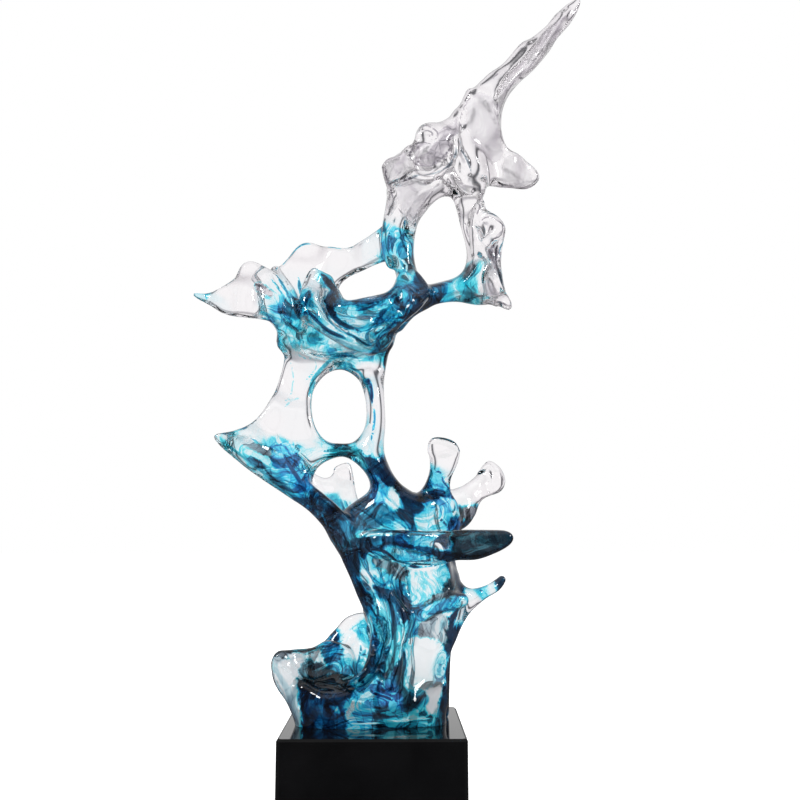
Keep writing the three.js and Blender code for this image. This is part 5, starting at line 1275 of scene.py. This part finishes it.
def ramp(tree, value, stops, mode="LINEAR"):
    made = node(tree, "ShaderNodeValToRGB", Fac=value)
    made.color_ramp.interpolation = mode
    elements = made.color_ramp.elements
    while len(elements) < len(stops):
        elements.new(0.5)
    for element, (place, colour) in zip(elements, stops):
        element.position = place
        element.color = rgba(colour)
    return made.outputs["Color"]


def calc(tree, operation, *values, kind="ShaderNodeMath"):
    made = node(tree, kind, operation=operation)
    for socket, value in zip(made.inputs, values):
        give(socket, value)
    return made.outputs[0]


def mixed(tree, factor, first, second, blend_type="MIX", data_type="RGBA"):
    made = node(tree, "ShaderNodeMix", data_type=data_type, blend_type=blend_type)
    ends, output = {"FLOAT": (2, 0), "RGBA": (6, 2)}[data_type]
    for socket, value in zip((made.inputs[0], *made.inputs[ends : ends + 2]), (factor, first, second)):
        give(socket, value)
    return made.outputs[output]


# The pour flows along each limb: how far a place lies inside its own limb's outline, seen from the
# front, is the coordinate across the streaks.
COARSE = 3
LIMB_DEPTH = 3
WIDEST_LIMB = 16
DEEP_INSIDE = 99.0
NEIGHBOURS = ((1, 0), (-1, 0), (0, 1), (0, -1), (1, 1), (1, -1), (-1, 1), (-1, -1))
coarse = resin_depth[::COARSE, ::COARSE, ::COARSE]
limb = coarse.copy()
for shift in range(-LIMB_DEPTH, LIMB_DEPTH + 1):
    limb = np.minimum(limb, np.roll(coarse, shift, 1))
inside = np.where(limb < 0, DEEP_INSIDE, 0.0)
for _ in range(WIDEST_LIMB):
    for right, up in NEIGHBOURS:
        step = COARSE * GRID_MM * math.hypot(right, up)
        inside = np.minimum(inside, np.roll(inside, (right, up), (0, 2)) + step)
for _ in range(2):
    inside = softened(inside, own_share=2)

MILKINESS = 0.4
FOOT_CLOUD = 0.3
CLOUDY_FOOT_MM = 60
PUSH = 0.045
FLOW_PUSH = 0.05
FLAKES_ACROSS = 120
FLAKES_ALONG = 55
PANE_WOBBLE = 0.004
PANE_SHARPNESS = 50
LEAST_INK_LEFT = 0.45
SLANT_GAIN = 0.25
resin, tree, shader = new_material("clear_resin_with_blue_ink")
place = node(tree, "ShaderNodeTexCoord").outputs["Object"]
density, blueness, flow, pane, pane_ink, pane_hue, dark_strand, dark_strength, pale_strand = (
    node(tree, "ShaderNodeAttribute", attribute_name=name).outputs["Fac"]
    for name in (
        "ink", "blueness", "flow", "pane", "pane_ink", "pane_hue",
        "dark_strand", "dark_strength", "pale_strand",
    )
)
drift = node(tree, "ShaderNodeTexNoise", Vector=place, Scale=19, Detail=2, Roughness=0.5)
pushed = calc(
    tree, "MULTIPLY_ADD", drift.outputs["Color"], (PUSH,) * 3, place, kind="ShaderNodeVectorMath"
)
across_flow = calc(tree, "MULTIPLY_ADD", drift.outputs["Fac"], FLOW_PUSH, flow)


def strokes(along, across, detail, rough):
    # a cloud drawn out into streaks that run along the limb
    stretch = node(tree, "ShaderNodeMapping", Vector=pushed, Scale=(along,) * 3).outputs[0]
    depth = calc(tree, "MULTIPLY", across_flow, across)
    made = node(
        tree, "ShaderNodeTexNoise", noise_dimensions="4D", Vector=stretch, W=depth,
        Scale=1, Detail=detail, Roughness=rough,
    )
    return calc(tree, "SUBTRACT", made.outputs["Fac"], 0.5)


def flakes(feature):
    # where two resins set against each other the ink breaks up into flakes with thin cracks between
    size = (FLAKES_ACROSS, FLAKES_ACROSS, FLAKES_ALONG)
    stretch = node(tree, "ShaderNodeMapping", Vector=pushed, Scale=size).outputs[0]
    return node(tree, "ShaderNodeTexVoronoi", feature=feature, Vector=stretch, Scale=1).outputs


billows = strokes(along=30, across=30, detail=3, rough=0.5)
bands = strokes(along=18, across=150, detail=2, rough=0.5)
fine = strokes(along=34, across=420, detail=3, rough=0.6)
hair = strokes(along=26, across=330, detail=1, rough=0.5)
hair = calc(tree, "MULTIPLY", calc(tree, "ABSOLUTE", hair), 22)
hair = calc(tree, "SUBTRACT", 1, calc(tree, "SMOOTH_MIN", hair, 1, 0.3))
flake_tone = node(tree, "ShaderNodeSeparateColor", Color=flakes("F1")["Color"]).outputs[0]
flake_tone = calc(tree, "SUBTRACT", flake_tone, 0.5)
crack = ramp(tree, flakes("DISTANCE_TO_EDGE")["Distance"], [(0.0, 1), (0.07, 0)], "EASE")
wobbled = calc(tree, "MULTIPLY_ADD", billows, PANE_WOBBLE, pane)
in_pane = calc(tree, "MULTIPLY_ADD", wobbled, PANE_SHARPNESS, 0.5)
in_pane = ramp(tree, in_pane, [(0.46, 0), (0.54, 1)], "EASE")
density = mixed(tree, in_pane, density, pane_ink, data_type="FLOAT")
blueness = mixed(tree, in_pane, blueness, pane_hue, data_type="FLOAT")
unrest = ramp(tree, density, [(0.02, 0), (0.2, 1), (0.55, 1), (0.75, 0.65), (0.95, 0.3)])
# one pour lies over another with a sharp border, drawn out along the limb
torn = 0.5
for part, share in ((billows, 0.6), (bands, 0.8), (fine, 0.6)):
    torn = calc(tree, "MULTIPLY_ADD", part, share, torn)
torn = calc(tree, "SUBTRACT", ramp(tree, torn, [(0.47, 0), (0.53, 1)], "EASE"), 0.5)
stir = 0
for part, share in (
    (billows, 0.6), (bands, 0.95), (fine, 1.25), (torn, 0.22),
    (hair, 0.12), (flake_tone, 0.2), (crack, 0.22),
):
    stir = calc(tree, "MULTIPLY_ADD", part, share, stir)
slant = node(tree, "ShaderNodeLayerWeight", Blend=0.5).outputs["Facing"]
# painted shade as well: inky resin seen at a slant is drawn darker, partly for its longer path and
# partly for the dark surround it refracts
longer_path_and_shade = ramp(tree, slant, [(0.15, 0), (0.6, 1)], "EASE")
level = calc(tree, "MULTIPLY_ADD", unrest, stir, density)
level = calc(tree, "MAXIMUM", level, calc(tree, "MULTIPLY", density, LEAST_INK_LEFT))
level = calc(tree, "MULTIPLY_ADD", calc(tree, "MULTIPLY", unrest, longer_path_and_shade), SLANT_GAIN, level)
drawn = ramp(tree, dark_strand, [(0.06, 1), (0.15, 0)], "EASE")
level = calc(tree, "MAXIMUM", level, calc(tree, "MULTIPLY", drawn, dark_strength))
cleared = ramp(tree, pale_strand, [(0.06, 0.1), (0.14, 1)], "EASE")
level = calc(tree, "MULTIPLY", level, cleared)
CLEAR = (0.965, 0.95, 0.96)
teal = ramp(tree, level, [
    (0.0, CLEAR), (0.08, (0.60, 0.88, 0.93)), (0.2, (0.09, 0.77, 0.88)), (0.34, (0.02, 0.60, 0.74)),
    (0.49, (0.01, 0.30, 0.42)), (0.62, (0.004, 0.12, 0.18)), (0.78, (0.001, 0.03, 0.05)),
    (0.95, (0.001, 0.003, 0.007)),
])
blue = ramp(tree, level, [
    (0.0, CLEAR), (0.08, (0.58, 0.86, 0.95)), (0.2, (0.07, 0.71, 0.96)), (0.34, (0.02, 0.50, 0.88)),
    (0.49, (0.01, 0.20, 0.62)), (0.62, (0.005, 0.06, 0.32)), (0.78, (0.002, 0.015, 0.10)),
    (0.95, (0.001, 0.002, 0.012)),
])
# this grey tints the dusky ink and also the painted shade on the clear head, neck, fins and blade
smoke_and_shade_grey = ramp(tree, level, [
    (0.0, CLEAR), (0.2, (0.60, 0.56, 0.61)), (0.45, (0.24, 0.225, 0.26)), (0.7, (0.06, 0.056, 0.07)),
    (0.95, (0.006, 0.006, 0.008)),
])
tint = mixed(tree, calc(tree, "MAXIMUM", blueness, 0), teal, blue)
smoke_and_shade_share = calc(tree, "MAXIMUM", calc(tree, "MULTIPLY", blueness, -1), 0)
tint = mixed(tree, smoke_and_shade_share, tint, smoke_and_shade_grey)
# light that passes through the resin at a slant goes a long way through it and is darkened a little;
# the dark lines this draws at edges and slopes are mostly painted shade, for the dark surround that
# clear resin shows there by refraction
painted_edge_shade = ramp(tree, slant, [(0.15, 1), (0.55, (0.70, 0.67, 0.70)), (0.9, (0.15, 0.15, 0.16))])
tint = mixed(tree, 1, tint, painted_edge_shade, "MULTIPLY")
# the ink is a fine powder, which also throws back some of the light that falls on it
clearness = ramp(tree, level, [(0.05, 1), (0.2, 0.84), (0.5, 0.78), (0.7, 0.88), (0.95, 0.8)])
# panes of the dusky kind were poured from a slightly milky resin; the painted-shade facet panes on the
# head are made just as milky
milk = calc(tree, "MAXIMUM", calc(tree, "MULTIPLY", pane_hue, -MILKINESS), 0)
clearness = calc(tree, "SUBTRACT", clearness, calc(tree, "MULTIPLY", in_pane, milk))
# and the foot, cast first, came out cloudier than the rest
height = node(tree, "ShaderNodeSeparateXYZ", Vector=place).outputs["Z"]
cloud = node(
    tree, "ShaderNodeMapRange", Value=height, To_Min=FOOT_CLOUD, To_Max=0,
    From_Min=PLINTH_TOP_MM / 1000, From_Max=(PLINTH_TOP_MM + CLOUDY_FOOT_MM) / 1000,
)
clearness = calc(tree, "SUBTRACT", clearness, cloud.outputs[0])
fill(shader, Base_Color=tint, Transmission_Weight=clearness, Roughness=0.01, IOR=1.5)

LONGEST_EDGE = 2.6
HALVINGS = 2
SETTLINGS = 3
GENTLEST_SLOPE = 0.7
FACING_DOWN = -0.99
SOLE_SLACK = 0.0001
SOLE_MM = PLINTH_TOP_MM + REST_GAP_MM
points, faces = skin_of(resin_depth)
skin = bpy.data.meshes.new("resin_casting")
skin.from_pydata(points.tolist(), [], faces.tolist())
skin.materials.append(resin)
skin.shade_smooth()
casting = put("resin_casting", skin)
shell = bmesh.new()
shell.from_mesh(skin)
for _ in range(HALVINGS):
    # long edges on flat parts are halved, so that the ink's outlines stay sharp there
    long_edges = [edge for edge in shell.edges if edge.calc_length() > LONGEST_EDGE]
    bmesh.ops.subdivide_edges(shell, edges=long_edges, cuts=1, use_grid_fill=True)
points = np.array([vertex.co[:] for vertex in shell.verts])
slope = np.stack(np.gradient(resin_depth), -1)
for _ in range(SETTLINGS):
    # and every point is brought onto the skin
    lean = sample(slope, points)
    size = np.maximum((lean**2).sum(1), (GENTLEST_SLOPE * GRID_MM) ** 2)
    points -= lean * (sample(resin_depth, points) / size)[:, None]
points = CAST_LOW + points * GRID_MM
# the fine skin is drawn in by a fraction of a millimetre, into the box that the coarse one fills
left_mm, right_mm, top_mm = cad_low[0] * 1000, cad_high[0] * 1000, cad_high[2] * 1000 - PLINTH_TOP_MM
for axis, low, high in ((0, left_mm, right_mm), (2, None, top_mm)):
    own_low, own_high = points[:, axis].min(), points[:, axis].max()
    low = own_low if low is None else low + HAIR_MM
    fitted = (low, high - REST_GAP_MM - HAIR_MM)
    points[:, axis] = np.interp(points[:, axis], (own_low, own_high), fitted)
for vertex, spot in zip(shell.verts, (points + (0, 0, SOLE_MM)) / 1000):
    vertex.co = spot

# the foot is sawn off flat where it stands on the block
sawn_at = Vector((0, 0, SOLE_MM / 1000))
every_part = shell.verts[:] + shell.edges[:] + shell.faces[:]
cut = bmesh.ops.bisect_plane(
    shell, geom=every_part, plane_co=sawn_at, plane_no=(0, 0, -1), clear_outer=True
)
rim = [part for part in cut["geom_cut"] if isinstance(part, bmesh.types.BMEdge)]
bmesh.ops.edgeloop_fill(shell, edges=rim)
shell.to_mesh(skin)
shell.free()
points = np.empty(len(skin.vertices) * 3)
skin.vertices.foreach_get("co", points)
points = points.reshape(-1, 3) * 1000 - (0, 0, SOLE_MM)
points_in_grid = (points - CAST_LOW) / GRID_MM
normals = sample(slope, points_in_grid)
normals /= np.linalg.norm(normals, axis=1)[:, None] + TINY
corner_normals = []
for face in skin.polygons:
    sole = face.normal.z < FACING_DOWN and face.center.z < sawn_at.z + SOLE_SLACK
    corner_normals += [(0, 0, -1) if sole else normals[corner] for corner in face.vertices]
skin.normals_split_custom_set(corner_normals)

# most of the ink was poured against the front of the mould, so the back holds less of it
BACK_SHARE = 0.3
SIDE_SHARE = 0.55
TURN_GAIN = 0.9
STRAND_UNIT = 10
facing = np.clip(SIDE_SHARE - TURN_GAIN * normals[:, 1], 0, 1)
poured = BACK_SHARE + (1 - BACK_SHARE) * facing
density_there, blueness_there = ink_at(points)
density_there = density_there**2 * (3 - 2 * density_there) * poured
pane_there, pane_ink_there, pane_hue_there = panes_at(points)
dark_away, dark_strength_there, dark_hue = strands_at(points, pale=False)
pale_away, _, _ = strands_at(points, pale=True)
blueness_there += (dark_hue - blueness_there) * np.exp(-((dark_away / STRAND_STAIN) ** 2))
for name, values in (
    ("pane", pane_there / 1000),
    ("pane_ink", pane_ink_there * poured),
    ("pane_hue", pane_hue_there),
    ("ink", density_there),
    ("blueness", blueness_there),
    ("flow", sample(inside, points_in_grid / COARSE) / 1000),
    ("dark_strand", dark_away / STRAND_UNIT),
    ("dark_strength", dark_strength_there * poured),
    ("pale_strand", pale_away / STRAND_UNIT),
):
    skin.attributes.new(name, "FLOAT", "POINT").data.foreach_set("value", values.astype(np.float32))
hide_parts("resin_sculpture")
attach(casting, "root")

# The block is sawn from black crystal, ground square, given narrow flats on its edges and polished
# like a mirror; what shows on it are reflections and the finest haze left by the polishing wheel.


def grained(tree, kind, **settings):
    # a pattern that runs through the whole piece, as grain does
    place = node(tree, "ShaderNodeTexCoord").outputs["Object"]
    return node(tree, kind, Vector=place, **settings).outputs["Fac"]


def coat(mesh, material):
    mesh.materials.clear()
    mesh.materials.append(material)


black, tree, shader = new_material("polished_black_block")
haze = grained(tree, "ShaderNodeTexNoise", Scale=26, Detail=4, Roughness=0.5, Distortion=0.4)
deep = ramp(tree, haze, [(0.3, (0.0015, 0.0015, 0.0018)), (0.75, (0.004, 0.004, 0.0045))])
sheen = ramp(tree, haze, [(0.3, 0.035), (0.8, 0.085)])
fill(shader, Base_Color=deep, Roughness=sheen, IOR=1.52, Specular_IOR_Level=0.16)
coat(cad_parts["plinth"].data, black)

# A sheet of pressed wool felt is glued under the block, just inside its edge, so that it slides on
# the table without a scratch; it covers the two screw heads.
felt, tree, shader = new_material("black_wool_felt")
fibres = grained(tree, "ShaderNodeTexNoise", Scale=900, Detail=6, Roughness=0.75, Distortion=3)
fluff = ramp(tree, fibres, [(0.3, (0.008, 0.008, 0.01)), (0.7, (0.045, 0.045, 0.05))])
nap = node(tree, "ShaderNodeBump", Strength=0.6, Distance=0.0004, Height=fibres).outputs[0]
fill(shader, Base_Color=fluff, Roughness=0.95, Sheen_Weight=0.4, Normal=nap)
coat(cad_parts["felt_pad"].data, felt)

# Two steel socket screws with washers hold the casting down: they pass up through the block into
# nickel-plated brass inserts that were set into the foot before the resin was poured.
metals = {}
for name, dark, light in (
    ("turned_steel", (0.42, 0.43, 0.45), (0.62, 0.62, 0.63)),
    ("plated_brass", 0.30, (0.42, 0.42, 0.41)),
):
    metals[name], tree, shader = new_material(name)
    rings = grained(
        tree, "ShaderNodeTexWave", bands_direction="Z", Scale=900, Distortion=1.5, Detail=3
    )
    turned = ramp(tree, rings, [(0.0, dark), (1.0, light)])
    worn = ramp(tree, rings, [(0.0, 0.38), (1.0, 0.22)])
    fill(shader, Base_Color=turned, Roughness=worn, Metallic=1)


def shape(tree, kind, **settings):
    return node(tree, kind, **settings).outputs[0]


def raised(tree, geometry, height):
    up = shape(tree, "ShaderNodeCombineXYZ", Z=height)
    return shape(tree, "GeometryNodeTransform", Geometry=geometry, Translation=up)


def bar(tree, radius, bottom, top, sides=48):
    length = calc(tree, "SUBTRACT", top, bottom)
    made = shape(tree, "GeometryNodeMeshCylinder", Vertices=sides, Radius=radius, Depth=length)
    return raised(tree, made, calc(tree, "MULTIPLY_ADD", length, 0.5, bottom))


def bored(tree, solid, bit):
    made = node(tree, "GeometryNodeMeshBoolean", operation="DIFFERENCE", Mesh_1=solid, Mesh_2=bit)
    return made.outputs["Mesh"]


def knurls(tree, count, radius, thick, bottom, top):
    # upright ridges that stand round a bar
    feet = shape(tree, "GeometryNodeMeshCircle", Vertices=count, Radius=radius)
    ridge = bar(tree, thick, bottom, top, sides=8)
    return shape(tree, "GeometryNodeInstanceOnPoints", Points=feet, Instance=ridge)


def thread(tree, radius, pitch, bottom, top):
    length = calc(tree, "SUBTRACT", top, bottom)
    turns = calc(tree, "DIVIDE", length, pitch)
    helix = shape(
        tree, "GeometryNodeCurveSpiral", Resolution=40, Rotations=turns, Height=length,
        Start_Radius=radius, End_Radius=radius,
    )
    wide = calc(tree, "MULTIPLY", pitch, CREST_SHARE)
    crest = shape(tree, "GeometryNodeCurvePrimitiveCircle", Resolution=6, Radius=wide)
    made = shape(tree, "GeometryNodeCurveToMesh", Curve=helix, Profile_Curve=crest, Fill_Caps=True)
    return raised(tree, made, bottom)


def fixing(name, node_name, metal, sizes, x, make):
    # one small tree shapes each fixing from its named sizes, and leaves a plain mesh behind
    tree = bpy.data.node_groups.new(name, "GeometryNodeTree")
    kinds = {float: "NodeSocketFloat", int: "NodeSocketInt"}
    for label, value in sizes.items():
        socket = tree.interface.new_socket(label, in_out="INPUT", socket_type=kinds[type(value)])
        socket.default_value = value
    tree.interface.new_socket("Metal", in_out="INPUT", socket_type="NodeSocketMaterial")
    tree.interface.new_socket("Geometry", in_out="OUTPUT", socket_type="NodeSocketGeometry")
    given = tree.nodes.new("NodeGroupInput").outputs
    joined = tree.nodes.new("GeometryNodeJoinGeometry")
    for part in make(tree, given):
        tree.links.new(part, joined.inputs[0])
    spot = (x, BOLT_Y, 0)
    whole = shape(tree, "GeometryNodeTransform", Geometry=joined.outputs[0], Translation=spot)
    whole = shape(tree, "GeometryNodeRealizeInstances", Geometry=whole)
    whole = shape(tree, "GeometryNodeSetMaterial", Geometry=whole, Material=given["Metal"])
    tree.links.new(whole, tree.nodes.new("NodeGroupOutput").inputs[0])
    piece = put(name, bpy.data.meshes.new(name))
    modifier = piece.modifiers.new(name, "NODES")
    modifier.node_group = tree
    for item in tree.interface.items_tree:
        if item.in_out == "INPUT":
            modifier[item.identifier] = sizes.get(item.name, metal)
    shaped = piece.evaluated_get(bpy.context.evaluated_depsgraph_get())
    plain = bpy.data.meshes.new_from_object(shaped)
    piece.modifiers.remove(modifier)
    piece.data = plain
    coat(plain, metal)
    plain.polygons.foreach_set("material_index", [0] * len(plain.polygons))
    plain.shade_smooth()
    plain.set_sharp_from_angle(angle=math.radians(30))
    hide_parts(node_name)
    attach(piece, "root")


def screw_parts(tree, given):
    head = bar(tree, given["Head radius"], given["Head foot"], given["Seat"])
    yield bored(tree, head, bar(tree, given["Socket radius"], 0.0, given["Socket end"], sides=6))
    ridges = given["Knurls"], given["Head radius"], given["Ridge"]
    yield knurls(tree, *ridges, given["Knurl foot"], given["Seat"])
    yield bar(tree, given["Shank radius"], given["Seat"], given["Thread foot"])
    yield bar(tree, given["Root radius"], given["Thread foot"], given["Tip"])
    yield thread(tree, given["Root radius"], given["Pitch"], given["Thread foot"], given["Thread end"])


def ring(tree, given):
    bore = bar(tree, given["Bore radius"], 0.0, 1.0)
    return bored(tree, bar(tree, given["Radius"], given["Foot"], given["Top"]), bore)


def insert_parts(tree, given):
    for foot, top in (("Foot", "Groove foot"), ("Groove top", "Top")):
        yield knurls(tree, given["Knurls"], given["Radius"], given["Ridge"], given[foot], given[top])
    yield ring(tree, given)


def washer_parts(tree, given):
    yield ring(tree, given)


BOLT_Y = -0.002
CREST_SHARE = 0.36
SCREW_SIZES = {
    "Head radius": 0.00485, "Head foot": 0.0054, "Seat": 0.0114, "Socket radius": 0.0029,
    "Socket end": 0.0086, "Knurls": 36, "Ridge": 0.00014, "Knurl foot": 0.006,
    "Shank radius": 0.003, "Thread foot": 0.055, "Root radius": 0.0026, "Tip": 0.083,
    "Pitch": 0.001, "Thread end": 0.0825,
}
WASHER_SIZES = {"Bore radius": 0.0033, "Radius": 0.009, "Foot": 0.0114, "Top": 0.013}
INSERT_SIZES = {
    "Bore radius": 0.0033, "Radius": 0.0046, "Foot": 0.071, "Top": 0.086, "Knurls": 40,
    "Ridge": 0.00035, "Groove foot": 0.0775, "Groove top": 0.0795,
}
for side, x in (("left", -0.036), ("right", 0.030)):
    for name, node_name, slot, metal, sizes, make in (
        ("socket_screw", "fixing_screw", "steel", "turned_steel", SCREW_SIZES, screw_parts),
        ("flat_washer", "washer", "steel", "turned_steel", WASHER_SIZES, washer_parts),
        ("knurled_insert", "threaded_insert", "brass", "plated_brass", INSERT_SIZES, insert_parts),
    ):
        fixing(f"{name}_{side}", f"{node_name}_{side}", metals[metal], sizes, x, make)

# The studio: a pale floor that takes the shadow, a ring of white screens that the resin shows
# through itself, and three soft lamps: a key and a fill in front and one behind.
FLOOR_REACH = 12
SEEN_FLOOR = 0.62
SEEN_THROUGH = 1.35
SCREENS = 8
floor = put("floor", bpy.data.meshes.new("floor"))
corners = [(x * FLOOR_REACH, y * FLOOR_REACH, 0) for x, y in ((-1, -1), (1, -1), (1, 1), (-1, 1))]
floor.data.from_pydata(corners, [], [(0, 1, 2, 3)])
paper, tree, shader = new_material("pale_floor")
path = node(tree, "ShaderNodeLightPath").outputs
lit = calc(tree, "MULTIPLY", path["Is Transmission Ray"], SEEN_THROUGH)
lit = calc(tree, "MULTIPLY", calc(tree, "MAXIMUM", path["Is Camera Ray"], lit), SEEN_FLOOR)
shade = ramp(tree, path["Is Glossy Ray"], [(0.0, 0.86), (1.0, 0.16)])
fill(shader, Base_Color=shade, Roughness=0.9, Specular_IOR_Level=0)
fill(shader, Emission_Color=1, Emission_Strength=lit)
coat(floor.data, paper)
floor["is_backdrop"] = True

world = bpy.data.worlds.new("white_surround")
bpy.context.scene.world = world
world.use_nodes = True
tree = world.node_tree
path = node(tree, "ShaderNodeLightPath").outputs
direction = node(tree, "ShaderNodeTexCoord").outputs["Generated"]
x, y, z = node(tree, "ShaderNodeSeparateXYZ", Vector=direction).outputs
# narrow dark gaps stand between eight white screens, so that the resin draws fine dark lines
screens = calc(tree, "COSINE", calc(tree, "MULTIPLY", calc(tree, "ARCTAN2", x, y), SCREENS))
screens = calc(tree, "MULTIPLY_ADD", screens, 0.5, 0.5)
gap, rim, screen = (0.1, 0.1, 0.11), (0.85, 0.84, 0.86), (1, 0.99, 0.995)
screens = ramp(tree, screens, [(0.0, gap), (0.12, rim), (0.4, screen)])
above = ramp(tree, z, [(0.5, 1), (0.6, (0.5, 0.49, 0.52)), (0.68, 0.5), (0.8, 1)])
through = mixed(tree, 1, screens, above, "MULTIPLY")
# what polished faces mirror: the white backdrop behind, a darker room in front, a soft ring above
backdrop = ramp(tree, y, [(0.2, (0.1, 0.1, 0.105)), (0.75, 1)])
overhead = ramp(tree, z, [(0.55, 0), (0.8, 0.7)])
mirrored = mixed(tree, 1, backdrop, overhead, "LIGHTEN")
ambient = mixed(tree, path["Is Glossy Ray"], (0.62, 0.62, 0.63), mirrored)
ambient = mixed(tree, path["Is Transmission Ray"], ambient, through)
white = mixed(tree, path["Is Camera Ray"], ambient, 1)
fill(tree.nodes["Background"], Color=white, Strength=1)

LAMPS_AIM = Vector((0, 0, 0.35))
for name, place, size, watts in (
    ("key_lamp", (-1.3, -1.2, 1.7), 0.5, 22),
    ("fill_lamp", (1.5, -0.8, 1.2), 0.4, 10),
    ("back_lamp", (0.6, 1.6, 1.5), 0.9, 12),
):
    lamp = put(name, bpy.data.lights.new(name, "AREA"))
    lamp.data.size = size
    lamp.data.energy = watts
    lamp.location = place
    lamp.visible_glossy = name != "back_lamp"
    lamp.visible_transmission = False
    lamp.rotation_euler = (LAMPS_AIM - Vector(place)).to_track_quat("-Z", "Y").to_euler()

bpy.context.scene.view_settings.view_transform = "Standard"
